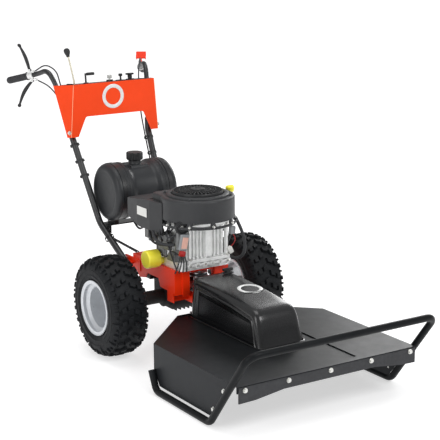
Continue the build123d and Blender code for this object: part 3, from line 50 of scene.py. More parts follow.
# ---------------------------------------------------------------- materials
def srgb(r, g, b):
    def lin(c):
        c = c / 255
        return c / 12.92 if c <= 0.04045 else ((c + 0.055) / 1.055) ** 2.4
    return (lin(r), lin(g), lin(b), 1.0)


def material(name, colour, rough, metal=0.0, vary=0.12, blotch=18.0, grain=900.0, bump=0.06, coat=0.0,
             wear=None, spread=0.08, dust=0.0, gloss=0.5):
    """Procedural finish: colour blotches, uneven roughness, fine bump, worn edges and settled dust."""
    m = bpy.data.materials.new(name)
    m.use_nodes = True
    nodes = m.node_tree.nodes
    link = m.node_tree.links.new
    shader = nodes["Principled BSDF"]
    shader.inputs["Metallic"].default_value = metal
    shader.inputs["Coat Weight"].default_value = coat
    shader.inputs["Coat Roughness"].default_value = 0.18
    shader.inputs["Specular IOR Level"].default_value = gloss
    where = nodes.new("ShaderNodeTexCoord")

    def noise(scale, detail, rough_value=0.6):
        n = nodes.new("ShaderNodeTexNoise")
        n.inputs["Scale"].default_value = scale
        n.inputs["Detail"].default_value = detail
        n.inputs["Roughness"].default_value = rough_value
        link(where.outputs["Object"], n.inputs["Vector"])
        return n.outputs["Fac"]

    def remap(source, low, high, a=0.3, b=0.7):
        r = nodes.new("ShaderNodeMapRange")
        r.inputs["From Min"].default_value = a
        r.inputs["From Max"].default_value = b
        r.inputs["To Min"].default_value = low
        r.inputs["To Max"].default_value = high
        link(source, r.inputs["Value"])
        return r.outputs["Result"]

    def mixed(fac, first, second):
        x = nodes.new("ShaderNodeMix")
        x.data_type = "RGBA"
        link(fac, x.inputs["Factor"])
        for socket, value in ((x.inputs["A"], first), (x.inputs["B"], second)):
            if isinstance(value, tuple):
                socket.default_value = value
            else:
                link(value, socket)
        return x.outputs["Result"]

    dark = tuple(c * (1 - vary) for c in colour[:3]) + (1.0,)
    light = tuple(min(1.0, c * (1 + vary) + 0.002) for c in colour[:3]) + (1.0,)
    base = mixed(remap(noise(blotch, 5), 0, 1), dark, light)
    if dust:
        geometry = nodes.new("ShaderNodeNewGeometry")
        split = nodes.new("ShaderNodeSeparateXYZ")
        link(geometry.outputs["Normal"], split.inputs[0])
        up = remap(split.outputs["Z"], 0, dust, 0.5, 1.0)
        times = nodes.new("ShaderNodeMath")
        times.operation = "MULTIPLY"
        link(up, times.inputs[0])
        link(remap(noise(40, 6), 0.3, 1), times.inputs[1])
        base = mixed(times.outputs[0], base, srgb(150, 146, 138))
    if wear:
        geometry = nodes.new("ShaderNodeNewGeometry")
        edge = remap(geometry.outputs["Pointiness"], 0, 0.6, 0.53, 0.60)
        base = mixed(edge, base, wear)
    link(base, shader.inputs["Base Color"])
    link(remap(noise(blotch * 3, 6), rough - spread, rough + spread), shader.inputs["Roughness"])
    b = nodes.new("ShaderNodeBump")
    b.inputs["Strength"].default_value = bump
    b.inputs["Distance"].default_value = 0.0006
    link(noise(grain, 3), b.inputs["Height"])
    link(b.outputs["Normal"], shader.inputs["Normal"])
    return m


ORANGE = material("orange_powder", srgb(240, 66, 4), 0.40, vary=0.05, blotch=7, grain=700, bump=0.04,
                  coat=0.04, gloss=0.2)
RED = material("red_powder", srgb(240, 50, 6), 0.40, vary=0.06, blotch=9, grain=700, bump=0.05, coat=0.04,
               gloss=0.25)
BLACK = material("black_powder", srgb(18, 20, 22), 0.38, vary=0.10, blotch=7, grain=620, bump=0.05,
                 coat=0.0, wear=srgb(46, 48, 51), spread=0.03, gloss=0.12)
HOOD = material("black_moulding", srgb(17, 18, 20), 0.24, vary=0.05, blotch=4, grain=160, bump=0.006,
                coat=0.25, spread=0.012, gloss=0.45)
TUBE = material("black_tube", srgb(30, 31, 33), 0.34, vary=0.10, blotch=12, grain=900, bump=0.05, coat=0.1,
                spread=0.04)
CHARCOAL = material("charcoal_moulding", srgb(50, 51, 53), 0.50, vary=0.07, blotch=12, grain=1500,
                    bump=0.10, spread=0.04, gloss=0.35)
PLASTIC = material("black_plastic", srgb(28, 29, 31), 0.45, vary=0.10, blotch=20, grain=1300, bump=0.10,
                   gloss=0.4)
TANKSKIN = material("tank_skin", srgb(34, 36, 39), 0.44, vary=0.08, blotch=9, grain=1100, bump=0.08,
                    spread=0.04, gloss=0.42)
TYRE = material("tyre_rubber", srgb(21, 23, 26), 0.62, vary=0.16, blotch=26, grain=800, bump=0.25,
                dust=0.02, gloss=0.2)
RUBBER = material("soft_rubber", srgb(44, 45, 48), 0.66, vary=0.12, blotch=30, grain=1200, bump=0.25)
RIM = material("rim_paint", srgb(206, 209, 213), 0.34, metal=0.4, vary=0.06, blotch=16, grain=900, bump=0.06)
ALLOY = material("cast_alloy", srgb(232, 233, 232), 0.38, metal=0.55, vary=0.12, blotch=40, grain=420,
                 bump=0.38, wear=srgb(235, 235, 235))
DARKALLOY = material("grimy_alloy", srgb(120, 121, 121), 0.48, metal=0.7, vary=0.22, blotch=60, grain=420,
                     bump=0.4)
STEEL = material("turned_steel", srgb(178, 180, 182), 0.30, metal=0.95, vary=0.10, blotch=70, grain=1600,
                 bump=0.10)
ZINC = material("zinc_plate", srgb(210, 210, 206), 0.28, metal=0.9, vary=0.14, blotch=120, grain=1500,
                bump=0.12)
IRON = material("cast_iron", srgb(62, 62, 64), 0.62, metal=0.5, vary=0.2, blotch=60, grain=500, bump=0.5)
SOOT = material("heat_black", srgb(36, 35, 35), 0.68, metal=0.3, vary=0.25, blotch=45, grain=600, bump=0.3)
YELLOW = material("yellow_paint", srgb(255, 240, 66), 0.36, vary=0.05, blotch=20, grain=700, bump=0.05,
                  coat=0.3)
KNOBORANGE = material("orange_plastic", srgb(232, 50, 12), 0.45, vary=0.05, blotch=18, grain=900, bump=0.08,
                      gloss=0.2)
# painted highlight: pale orange for the thin beads along the console folds, standing in for the light the
# folds catch
FOLD_HIGHLIGHT = material("painted_fold_highlight", srgb(255, 168, 128), 0.40, vary=0.05, blotch=20, grain=700, bump=0.04)
LABEL = material("label_white", srgb(232, 232, 228), 0.45, vary=0.04, blotch=50, grain=1500, bump=0.04)
PINK = material("label_pink", srgb(226, 176, 160), 0.45, vary=0.06, blotch=50, grain=1500, bump=0.04)
GREY = material("grey_plastic", srgb(150, 153, 156), 0.45, vary=0.08, blotch=40, grain=1200, bump=0.1)
REDWIRE = material("red_wire", srgb(170, 26, 24), 0.42, vary=0.1, blotch=60, grain=1200, bump=0.08)
BRIGHT = material("silver_ring", srgb(222, 223, 222), 0.38, metal=0.15, vary=0.05, blotch=60, grain=1500,
                  bump=0.05)

BONE = material("bone_rod", srgb(196, 190, 170), 0.35, metal=0.2, vary=0.08, blotch=60, grain=1200,
                bump=0.06)

FINISH = {
    "console_shell": ORANGE, "chassis_frame": RED, "left_presence_lever": KNOBORANGE,
    "console_top": PLASTIC, "fuel_tank": TANKSKIN, "fuel_cap": PLASTIC, "battery": PLASTIC,
    "blade_switch": PLASTIC, "ignition_key": ZINC, "throttle_lever": PLASTIC, "lock_lever": PLASTIC,
    "control_cables": RUBBER, "cable_clips": PLASTIC, "blower_housing": CHARCOAL,
    "air_filter_cover": CHARCOAL, "fan_screen": PLASTIC, "grips": RUBBER, "front_flap": RUBBER,
    "fuel_hose": RUBBER, "ignition_leads": RUBBER, "drive_belt": RUBBER, "traction_belt": RUBBER,
    "left_tyre": TYRE, "right_tyre": TYRE, "left_rim": RIM, "right_rim": RIM, "left_axle": STEEL,
    "right_axle": STEEL, "crankshaft": STEEL, "spindle_shaft": STEEL, "mower_blade": STEEL,
    "deck_pivot_pin": STEEL, "shift_lever": STEEL, "starter_motor": SOOT, "muffler": SOOT,
    "transaxle_pulley": STEEL, "engine_pulley": STEEL, "deck_pulley": STEEL, "left_lug_nuts": ZINC,
    "right_lug_nuts": ZINC, "deck_bolts": ZINC, "engine_bolts": ZINC, "engine_block": ALLOY,
    "cylinder_heads": DARKALLOY, "valve_covers": DARKALLOY, "carburettor": DARKALLOY,
    "transaxle_case": SOOT, "lever_clamps": ALLOY, "flywheel": ALLOY, "spindle_housing": IRON,
    "oil_filter": YELLOW, "dipstick": PLASTIC, "right_upper_lever": PLASTIC, "right_lower_lever": PLASTIC,
}
for node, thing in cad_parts.items():
    finish = FINISH.get(node, BLACK if node.startswith(("deck", "bumper", "belt")) else TUBE)
    thing.data.materials.clear()
    thing.data.materials.append(finish)
    thing.data.set_sharp_from_angle(angle=radians(32))


# ---------------------------------------------------------------- mesh building
class Build:
    """Collects the points and faces of one piece."""

    def __init__(self):
        self.v = []
        self.f = []

    def rings(self, loops, closed=False, cap=True):
        """Skin between equal-sized loops of points."""
        start = len(self.v)
        n = len(loops[0])
        for loop in loops:
            self.v += [Vector(p) for p in loop]
        last = len(loops) if closed else len(loops) - 1
        for i in range(last):
            a = start + i * n
            b = start + ((i + 1) % len(loops)) * n
            for k in range(n):
                k2 = (k + 1) % n
                self.f.append((a + k, a + k2, b + k2, b + k))
        if cap and not closed:
            self.f.append(tuple(start + k for k in reversed(range(n))))
            self.f.append(tuple(start + (len(loops) - 1) * n + k for k in range(n)))
        return self

    def turned(self, origin, axis, profile, n=32, phase=0.0, closed=False, cap=True):
        """Lathe: profile is (distance along the axis, radius)."""
        z = Vector(axis).normalized()
        x = z.orthogonal().normalized() if abs(z.z) < 0.9 else Vector((1, 0, 0))
        y = z.cross(x)
        o = Vector(origin)
        angles = [phase + 2 * pi * k / n for k in range(n)]
        loops = []
        for along, r in profile:
            loops.append([o + z * along + (x * cos(q) + y * sin(q)) * r for q in angles])
        return self.rings(loops, closed, cap)

    def stack(self, origin, axis, up, sections):
        """Loft of rectangles: sections are (distance, width across, height along up)."""
        z = Vector(axis).normalized()
        y = Vector(up).normalized()
        x = y.cross(z)
        o = Vector(origin)
        loops = []
        for along, w, h in sections:
            c = o + z * along
            loops.append([c - x * w / 2 - y * h / 2, c + x * w / 2 - y * h / 2, c + x * w / 2 + y * h / 2,
                          c - x * w / 2 + y * h / 2])
        return self.rings(loops)

    def bolt(self, place, axis, across=0.013, washer=0.0095, shaft=True):
        place = Vector(place)
        self.turned(place, axis, [(0, washer), (0.0016, washer), (0.0022, washer * 0.92)], 20)
        r = across / sqrt(3)
        self.turned(place, axis, [(0.0018, r), (0.0062, r), (0.0078, r * 0.86)], 6)
        if shaft:
            self.turned(place, axis, [(0.007, r * 0.42), (0.0105, r * 0.42), (0.0112, r * 0.34)], 12)
        return self

    def done(self, name, mat, body, slot, bevel=0.0, angle=34, segments=2, level=0):
        mesh = bpy.data.meshes.new(name)
        mesh.from_pydata([tuple(p) for p in self.v], [], self.f)
        work = bmesh.new()
        work.from_mesh(mesh)
        bmesh.ops.remove_doubles(work, verts=work.verts, dist=1e-6)
        bmesh.ops.recalc_face_normals(work, faces=work.faces)
        work.to_mesh(mesh)
        work.free()
        return settle(name, mesh, mat, body, bevel, angle, segments, level)


def settle(name, mesh, mat, body, bevel=0.0, angle=34, segments=2, level=0):
    thing = bpy.data.objects.new(name, mesh)
    scene.collection.objects.link(thing)
    mesh.materials.append(mat)
    for face in mesh.polygons:
        face.use_smooth = True
    mesh.set_sharp_from_angle(angle=radians(angle))
    if bevel:
        edge = thing.modifiers.new("edges", "BEVEL")
        edge.width = bevel
        edge.segments = segments
        edge.limit_method = "ANGLE"
        edge.angle_limit = radians(angle)
        edge.harden_normals = True
    if level:
        soft = thing.modifiers.new("soft", "SUBSURF")
        soft.levels = soft.render_levels = level
    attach(thing, body)
    return thing


def hose(name, points, radius, mat, body):
    """Smooth bent hose, wire or rod through a few control points."""
    curve = bpy.data.curves.new(name, "CURVE")
    curve.dimensions = "3D"
    spline = curve.splines.new("NURBS")
    spline.points.add(len(points) - 1)
    for p, q in zip(spline.points, points):
        p.co = (q[0], q[1], q[2], 1)
    spline.order_u = 3
    spline.use_endpoint_u = True
    curve.resolution_u = 10
    curve.bevel_depth = radius
    curve.bevel_resolution = 4
    curve.use_fill_caps = True
    curve.materials.append(mat)
    thing = bpy.data.objects.new(name, curve)
    scene.collection.objects.link(thing)
    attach(thing, body)
    return thing


# ---------------------------------------------------------------- tyres
HALF_PROFILE = [(0, 194), (30, 193), (52, 189.5), (65, 183), (73, 173), (76.6, 163), (77.2, 157),
                (78.8, 156), (78.8, 154), (77.6, 153), (78, 143), (77.4, 136), (78.4, 135), (78.4, 133),
                (76.8, 132), (75, 122), (70.4, 115.6)]


def along_profile(s):
    """Point and outward normal of the tyre's half outline at a length from the crown."""
    for (a0, r0), (a1, r1) in zip(HALF_PROFILE, HALF_PROFILE[1:]):
        step = sqrt((a1 - a0) ** 2 + (r1 - r0) ** 2)
        if s <= step:
            t = s / step
            return a0 + (a1 - a0) * t, r0 + (r1 - r0) * t, (r0 - r1) / step, (a1 - a0) / step
        s -= step
    return (*HALF_PROFILE[-1], 1.0, 0.0)


def lug_height(s):
    if s < 46:
        return 12.6
    return max(2.6, 12.6 - (s - 46) * 0.235)


def tyre(name, side):
    centre = Vector((side * 0.3285, AXLE_Y, 0.207))
    shape = Build()

    def place(mirror, s, t, h):
        a, r, na, nr = along_profile(s)
        if s > 52:
            na, nr = (na + 0.9) / 1.9, nr
        a, r = a + na * h, r + nr * h
        a = min(a, 80.6)
        turn = t / 200
        return centre + Vector((mirror * a * MM, r * MM * cos(turn), r * MM * sin(turn)))

    outline = [(-a, r) for a, r in reversed(HALF_PROFILE[1:])] + HALF_PROFILE
    inner = [(68, 122), (70, 150), (62, 176), (0, 184), (-62, 176), (-70, 150), (-68, 122)]
    loop = [(a * MM, r * MM) for a, r in outline + inner]
    shape.turned(centre, (1, 0, 0), loop, 120, closed=True, cap=False)
    carcass = shape.done(name + "_carcass", TYRE, name[:-5] + "_wheel", "tyre_black", angle=50)

    lugs = Build()

    def lug(mirror, s0, s1, l0, r0, l1, r1, n=3, shrink=2.2):
        bottom, top = [], []
        for i in range(n + 1):
            t = i / n
            s = s0 + (s1 - s0) * t
            left, right = l0 + (l1 - l0) * t, r0 + (r1 - r0) * t
            inset = shrink if i == 0 else (-shrink if i == n else 0)
            bottom.append((place(mirror, s, left, -3), place(mirror, s, right, -3)))
            h = lug_height(s)
            top.append((place(mirror, s + inset, left + shrink, h),
                        place(mirror, s + inset, right - shrink, h)))
        base = len(lugs.v)
        for (bl, br), (tl, tr) in zip(bottom, top):
            lugs.v += [bl, br, tl, tr]
        for i in range(n):
            p, q = base + 4 * i, base + 4 * (i + 1)
            lugs.f += [(p + 2, p + 3, q + 3, q + 2), (p, p + 2, q + 2, q), (p + 3, p + 1, q + 1, q + 3)]
        p, q = base, base + 4 * n
        lugs.f += [(p, p + 1, p + 3, p + 2), (q + 1, q, q + 2, q + 3)]

    pitches = 23
    pitch = 2 * pi * 200 / pitches
    for i in range(pitches):
        t = i * pitch
        for mirror in (-1, 1):
            off = 0 if mirror > 0 else pitch / 2
            lug(mirror, 3, 27, t + off - 9, t + off + 13, t + off + 2, t + off + 23)
            lug(mirror, 30, 52, t + off + 8, t + off + 31, t + off + 13, t + off + 34)
            lug(mirror, 56, 94 if i % 2 else 80, t + off + 22, t + off + 44, t + off + 25, t + off + 43, n=5)
            lug(mirror, 60, 72, t + off - 2, t + off + 10, t + off, t + off + 9, n=2, shrink=1.6)
    tread = lugs.done(name + "_tread", TYRE, name[:-5] + "_wheel", "tyre_black", bevel=0.0012, segments=1)
    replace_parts(carcass, name)
    return carcass, tread


tyre("right_tyre", -1)
tyre("left_tyre", 1)


# ---------------------------------------------------------------- belt hood
def roof_curve(t):
    """Height of the hood's roof in millimetres; t runs from 0 at the rear to 1 at the nose."""
    return 345 - 2.2 * t - 24.8 * t ** 2.3


def roof_height(y):
    """Height of the roof in metres at a place along the machine."""
    return roof_curve(max(0.0, (-y * 1000 - 136) / 414)) * MM


def hood_outline():
    """Side outline of the hood in (y, z) millimetres, from the rear foot over the roof to the front foot."""
    base = 184.3
    rear = -125.0
    points = [(rear, base), (rear, 250), (rear, 320), (rear + 0.5, 336), (rear - 3, 343), (rear - 11, 345)]
    for i in range(1, 15):
        t = i / 14
        y = -136 + (-550 + 136) * t
        points.append((y, roof_curve(t)))
    nose = [(-563, 314.2), (-575, 307.2), (-584.5, 297.5), (-592, 285), (-598.5, 269), (-605, 249),
            (-612, 226), (-619, 203), (-625.5, base)]
    return points + nose


def inset_outline(points, amount):
    """Same outline moved inwards; the foot stays on the deck."""
    moved = []
    count = len(points)
    for i, (y, z) in enumerate(points):
        y0, z0 = points[max(i - 1, 0)]
        y1, z1 = points[min(i + 1, count - 1)]
        dy, dz = y1 - y0, z1 - z0
        size = sqrt(dy * dy + dz * dz)
        ny, nz = dz / size, -dy / size
        ny, nz = -ny, -nz
        moved.append((y + ny * amount, max(z + nz * amount, points[0][1]) if 0 < i < count - 1 else z))
    return moved


def belt_hood():
    outline = hood_outline()
    corner = 24.0
    half_width = 92.0
    rows = [(0.0, half_width - corner)]
    for i in range(1, 7):
        a = radians(90 * i / 6)
        rows.append((corner * (1 - cos(a)), half_width - corner + corner * sin(a)))
    rows += [(27.0, half_width), (28.2, 91.4), (29.8, 88.6), (31.4, 88.0), (33.4, 88.0), (34.8, 88.6),
             (36.2, 90.6), (37.6, 91.0), (41, 91.0), (42.8, 90.4), (46, 85.4), (48, 84.6), (58, 84.6)]

    def widen(z):
        return 1.0 + 0.145 * (345 - z) / 165

    shape = Build()
    right, left = [], []
    for inset, half in rows:
        loop = inset_outline(outline, inset)
        right.append([Vector((-half * widen(z) * MM, y * MM, z * MM)) for y, z in loop])
        left.append([Vector((half * widen(z) * MM, y * MM, z * MM)) for y, z in loop])
    sheets = list(reversed(right))
    for k in range(1, 6):
        t = k / 6
        sheets.append([a.lerp(b, t) for a, b in zip(right[0], left[0])])
    sheets += left
    n = len(outline)
    for loop in sheets:
        shape.v += loop
    for i in range(len(sheets) - 1):
        for k in range(n - 1):
            shape.f.append((i * n + k, i * n + k + 1, (i + 1) * n + k + 1, (i + 1) * n + k))
    last = (len(sheets) - 1) * n
    shape.f.append(tuple(range(n)))
    shape.f.append(tuple(last + k for k in reversed(range(n))))
    hood = shape.done("belt_hood_moulding", HOOD, "deck", "black_paint", angle=46)
    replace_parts(hood, "belt_hood")
    # rim where the moulding meets the deck
    foot = Build()
    loops = []
    for grow, z0 in ((0, 184.4), (5, 184.4), (5.4, 187), (1, 188.4)):
        loops.append([Vector((x * MM, y * MM, z0 * MM)) for x,
                      y in ((-106 - grow, -125), (-106 - grow, -610), (-92 - grow * 0.6, -626 - grow * 0.8),
                            (92 + grow * 0.6, -626 - grow * 0.8), (106 + grow, -610), (106 + grow, -125))])
    foot.rings(loops, cap=False)
    foot.done("belt_hood_foot", HOOD, "deck", "black_paint", bevel=0.0008)
    # crease pressed across the roof
    crease = Build()
    path = []
    for i in range(13):
        t = -1 + 2 * i / 12
        path.append(Vector((0.026 + t * 0.046, -0.3985 - 0.012 * (1 - t * t), 0.0)))
    lines = []
    for p in path:
        z = roof_height(p.y)
        lines.append([Vector((p.x, p.y - 0.004, z - 0.0008)), Vector((p.x, p.y - 0.0018, z + 0.0022)),
                      Vector((p.x, p.y + 0.0018, z + 0.0022)), Vector((p.x, p.y + 0.004, z - 0.0008))])
    crease.rings(lines)
    crease.done("belt_hood_crease", HOOD, "deck", "black_paint", angle=60)


belt_hood()


def ring_badge(name, centre, normal, up, radius, width, body, mat, follow=None):
    """Plain ring badge with a rounded section and no lettering."""
    n = Vector(normal).normalized()
    u = Vector(up).normalized()
    r = u.cross(n)
    shape = Build()
    loops = []
    section = [(-0.5, 0.0), (-0.42, 0.8), (-0.2, 1.2), (0.2, 1.2), (0.42, 0.8), (0.5, 0.0)]
    for k in range(72):
        a = 2 * pi * k / 72
        loop = []
        for across, rise in section:
            rad = radius + across * width
            p = Vector(centre) + r * cos(a) * rad + u * sin(a) * rad + n * rise * MM
            if follow:
                p.z = follow(p.y) + rise * MM + 0.0002
            loop.append(p)
        loops.append(loop)
    shape.rings(loops, closed=True, cap=False)
    return shape.done(name, mat, body, "rim_silver", angle=60)


ring_badge("hood_ring", (0.026, -0.366, 0.343), (0, 0, 1), (0, 1, 0), 0.043, 0.014, "deck", BRIGHT,
           roof_height)
ring_badge("console_ring", (-0.008, 0.6545, 0.971), (0, -1, 0), (0, 0, 1), 0.045, 0.016, "chassis", BRIGHT)

# ---------------------------------------------------------------- engine details
def fan_screen():
    """Slotted screen over the flywheel: rim, rings, radial bars and a hub cap."""
    o = (0, CRANK_Y, 0.6568)
    shape = Build()
    shape.turned(o, (0, 0, 1),
                 [(0, 0.098), (0, 0.1035), (0.012, 0.1038), (0.0165, 0.1015), (0.0165, 0.097),
                  (0.011, 0.0945), (0.004, 0.0945)], 72, closed=True, cap=False)
    for r in (0.052, 0.074):
        shape.turned(o, (0, 0, 1),
                     [(0.010, r - 0.0012), (0.010, r + 0.0012), (0.0186, r + 0.0012), (0.0186, r - 0.0012)],
                     60, closed=True, cap=False)
    shape.turned(o, (0, 0, 1),
                 [(0.004, 0.030), (0.0195, 0.030), (0.0225, 0.0275), (0.0225, 0.014), (0.0205, 0.012),
                  (0.0205, 0.004)], 36)
    for k in range(36):
        a = 2 * pi * k / 36
        out = Vector((cos(a), sin(a), 0))
        shape.stack(Vector(o) + out * 0.027 + Vector((0, 0, 0.0135)), out, (0, 0, 1),
                    [(0, 0.0026, 0.009), (0.068, 0.0046, 0.009)])
    done = shape.done("fan_screen_slots", PLASTIC, "crank", "charcoal_plastic", angle=40)
    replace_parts(done, "fan_screen")
    well = Build()
    well.turned(o, (0, 0, 1), [(0.0015, 0.0945), (0.0045, 0.0945), (0.0045, 0.028), (0.0015, 0.028)], 48)
    well.done("fan_screen_well", SOOT, "crank", "charcoal_plastic")


fan_screen()

collar = Build()
collar.turned((0, CRANK_Y, 0.6552), (0, 0, 1),
              [(0, 0.107), (0, 0.128), (0.004, 0.1275), (0.0075, 0.124), (0.0085, 0.119), (0.0085, 0.109),
               (0.006, 0.107)], 72, closed=True, cap=False)
for k in range(4):
    a = radians(45 + 90 * k)
    collar.bolt((0.136 * cos(a), CRANK_Y + 0.136 * sin(a), 0.6550), (0, 0, 1), 0.009, 0.007, shaft=False)
collar.done("cowl_collar", CHARCOAL, "chassis", "charcoal_plastic", bevel=0.0006, angle=40)

RIM_ANGLES = (188, 226, 262, 300, 338)


def from_crank(angle):
    """Unit vector that points away from the crankshaft at an angle in degrees."""
    return Vector((cos(radians(angle)), sin(radians(angle)), 0))


rim = Build()
arc = []
for k in range(41):
    out = from_crank(172 + 196 * k / 40)
    c = Vector((0, CRANK_Y, 0)) + out * COWL_RADIUS
    arc.append([c + Vector((0, 0, COWL_LOW)), c + out * 0.0045 + Vector((0, 0, COWL_LOW)),
                c + out * 0.005 + Vector((0, 0, 0.549)), c + out * 0.0008 + Vector((0, 0, 0.5515))])
rim.rings(arc)
for angle in RIM_ANGLES:
    out = from_crank(angle)
    c = Vector((0, CRANK_Y, 0.556)) + out * 0.1495
    rim.stack(c - Vector((0, 0, 0.014)), (0, 0, 1), out,
              [(0, 0.022, 0.008), (0.02, 0.020, 0.008), (0.028, 0.010, 0.004)])
rim.done("cowl_rim", CHARCOAL, "chassis", "charcoal_plastic", bevel=0.0008, angle=40)
pins = Build()
for angle in RIM_ANGLES:
    out = from_crank(angle)
    pins.bolt(Vector((0, CRANK_Y, 0.552)) + out * 0.1535, out, 0.009, 0.0055, shaft=False)
pins.done("cowl_bolts", ZINC, "chassis", "zinc_bolts", angle=30)

# framed front of the crankcase
front = Build()
for x, w, z, h, d in ((4, 186, 541, 15, 15), (4, 198, 400, 16, 20), (-83, 12, 470, 140, 14),
                      (91, 12, 470, 140, 14), (4, 30, 470, 118, 15), (4, 212, 383, 14, 16)):
    front.stack((x * MM, CRANKCASE_FRONT, z * MM), (0, -1, 0), (0, 0, 1),
                [(0, w * MM, h * MM), (d * MM - 0.002, w * MM, h * MM),
                 (d * MM, w * MM - 0.003, h * MM - 0.003)])
for i in range(8):
    x = -66 + 19.5 * i
    front.stack((x * MM, CRANKCASE_FRONT, 0.4115), (0, -1, 0), (0, 0, 1),
                [(0, 0.008, 0.010), (0.0125, 0.007, 0.009)])
for x in SUMP_BOLT_X:
    front.stack((x, CRANKCASE_FRONT - 0.0005, 0.384), (0, -1, 0), (0, 0, 1),
                [(0, 0.016, 0.026), (0.018, 0.013, 0.024)])
front.done("crankcase_front", ALLOY, "chassis", "alloy", bevel=0.0016, angle=36)
sump_bolts = Build()
for x, z in ((-83, 536), (91, 536), (-83, 408), (91, 408)):
    sump_bolts.bolt((x * MM, -0.1022, z * MM), (0, -1, 0), 0.009, 0.0065, shaft=False)
for x in SUMP_BOLT_X:
    sump_bolts.bolt((x, CRANKCASE_FRONT - 0.0188, 0.384), (0, -1, 0), 0.008, 0.0055, shaft=False)
sump_bolts.done("crankcase_bolts", ZINC, "chassis", "zinc_bolts", angle=30)

# side of the engine under the filter box: brackets, tubes and linkage
side = Build()
side.turned((-0.126, -0.080, 0.452), (0.05, 0, 1),
            [(0, 0.010), (0.004, 0.012), (0.07, 0.012), (0.076, 0.008)], 24)
side.stack((-0.130, 0.01, 0.44), (0, 0, 1), (0, 1, 0),
           [(0, 0.018, 0.07), (0.03, 0.022, 0.08), (0.05, 0.012, 0.05)])
side.stack((-0.12, -0.035, 0.398), (0, 0, 1), (0, 1, 0),
           [(0, 0.03, 0.06), (0.028, 0.022, 0.05), (0.036, 0.010, 0.03)])
side.turned((-0.118, -0.02, 0.49), (-1, 0, 0), [(0, 0.018), (0.02, 0.018), (0.024, 0.014), (0.034, 0.014)],
            28)
side.done("engine_side_castings", DARKALLOY, "chassis", "alloy", bevel=0.0014, angle=36)
boss = Build()
boss.turned((-0.096, -0.058, 0.552), (-0.45, -0.85, -0.1),
            [(0, 0.030), (0.052, 0.029), (0.058, 0.026), (0.060, 0.020), (0.056, 0.018), (0.056, 0.008)],
            36)
boss.done("cowl_boss", PLASTIC, "chassis", "charcoal_plastic", angle=40)
nut = Build()
nut.bolt((-0.1212, -0.1056, 0.5464), (-0.45, -0.85, -0.1), 0.012, 0.0085, shaft=False)
nut.done("cowl_boss_nut", ZINC, "chassis", "zinc_bolts", angle=30)
ENGINE_HOSES = (
    ([(-0.150, 0.075, 0.508), (-0.176, 0.030, 0.490), (-0.166, -0.020, 0.462), (-0.130, -0.062, 0.470)],
     0.0062),
    ([(-0.145, 0.110, 0.506), (-0.170, 0.075, 0.468), (-0.150, 0.02, 0.452), (-0.118, -0.01, 0.455)],
     0.0048),
    ([(-0.132, -0.020, 0.540), (-0.162, -0.040, 0.505), (-0.150, -0.070, 0.500), (-0.118, -0.086, 0.528)],
     0.0034),
    ([(-0.100, 0.000, 0.520), (-0.140, -0.012, 0.500), (-0.142, -0.048, 0.430), (-0.126, -0.070, 0.364)],
     0.0030),
)
for i, (pts, r) in enumerate(ENGINE_HOSES):
    hose("engine_hose_%d" % i, pts, r, RUBBER, "chassis")

# regulator with its cooling fins, plain label and wires
regulator = Build()
tilt = Vector((0.16, -0.06, 1)).normalized()
regulator.stack((-0.115, -0.0960, 0.452), tilt, (0, -1, 0),
                [(0, 0.032, 0.010), (0.002, 0.035, 0.013), (0.066, 0.035, 0.013), (0.068, 0.032, 0.010)])
for k in range(5):
    regulator.stack(Vector((-0.130 + 0.0065 * k, -0.086, 0.456)), tilt, (0, -1, 0),
                    [(0, 0.0018, 0.012), (0.056, 0.0018, 0.012)])
regulator.done("regulator", GREY, "chassis", "alloy", bevel=0.0012)
regulator_label = Build()
regulator_label.stack((-0.1125, -0.1040, 0.460), tilt, (0, -1, 0),
                      [(0, 0.026, 0.0016), (0.030, 0.026, 0.0016), (0.046, 0.026, 0.0016)])
regulator_label.done("regulator_label", PINK, "chassis", "alloy", bevel=0.0004)
plug = Build()
plug.stack((-0.122, -0.1015, 0.430), tilt, (0, -1, 0),
           [(0, 0.020, 0.012), (0.004, 0.024, 0.015), (0.018, 0.024, 0.015), (0.022, 0.018, 0.011)])
plug.done("regulator_plug", REDWIRE, "chassis", "black_plastic", bevel=0.001)
for i in range(4):
    x = -0.128 + 0.005 * i
    hose("regulator_wire_%d" % i,
         [(x, -0.101, 0.438), (x - 0.012 + 0.006 * i, -0.112, 0.412),
          (x - 0.020 + 0.010 * i, -0.108, 0.385), (x - 0.024 + 0.013 * i, -0.098, 0.362)], 0.0026, RUBBER,
         "chassis")
hose("harness",
     [(-0.112, -0.124, 0.552), (-0.09, -0.150, 0.550), (-0.02, -0.184, 0.546), (0.06, -0.176, 0.547),
      (0.12, -0.132, 0.552)], 0.0042, RUBBER, "chassis")
hose("drain_hose",
     [(0.128, -0.112, 0.556), (0.140, -0.138, 0.510), (0.145, -0.156, 0.455), (0.140, -0.150, 0.405),
      (0.126, -0.110, 0.385), (0.112, -0.080, 0.388)], 0.0068, RUBBER, "chassis")
grey_plug = Build()
grey_plug.stack((0.118, -0.098, 0.488), (0.1, 0, 1), (0, 1, 0),
                [(0, 0.018, 0.014), (0.003, 0.021, 0.017), (0.030, 0.021, 0.017), (0.033, 0.018, 0.014)])
grey_plug.done("grey_connector", GREY, "chassis", "charcoal_plastic", bevel=0.001)
white_plug = Build()
white_plug.stack((0.112, -0.104, 0.412), (-0.5, 0, 1), (0, 1, 0),
                 [(0, 0.016, 0.012), (0.003, 0.019, 0.015), (0.026, 0.019, 0.015), (0.029, 0.015, 0.012)])
white_plug.done("white_connector", LABEL, "chassis", "charcoal_plastic", bevel=0.001)
hose("red_wire",
     [(0.119, -0.098, 0.492), (0.128, -0.108, 0.478), (0.124, -0.112, 0.455), (0.106, -0.104, 0.436)],
     0.0018, REDWIRE, "chassis")

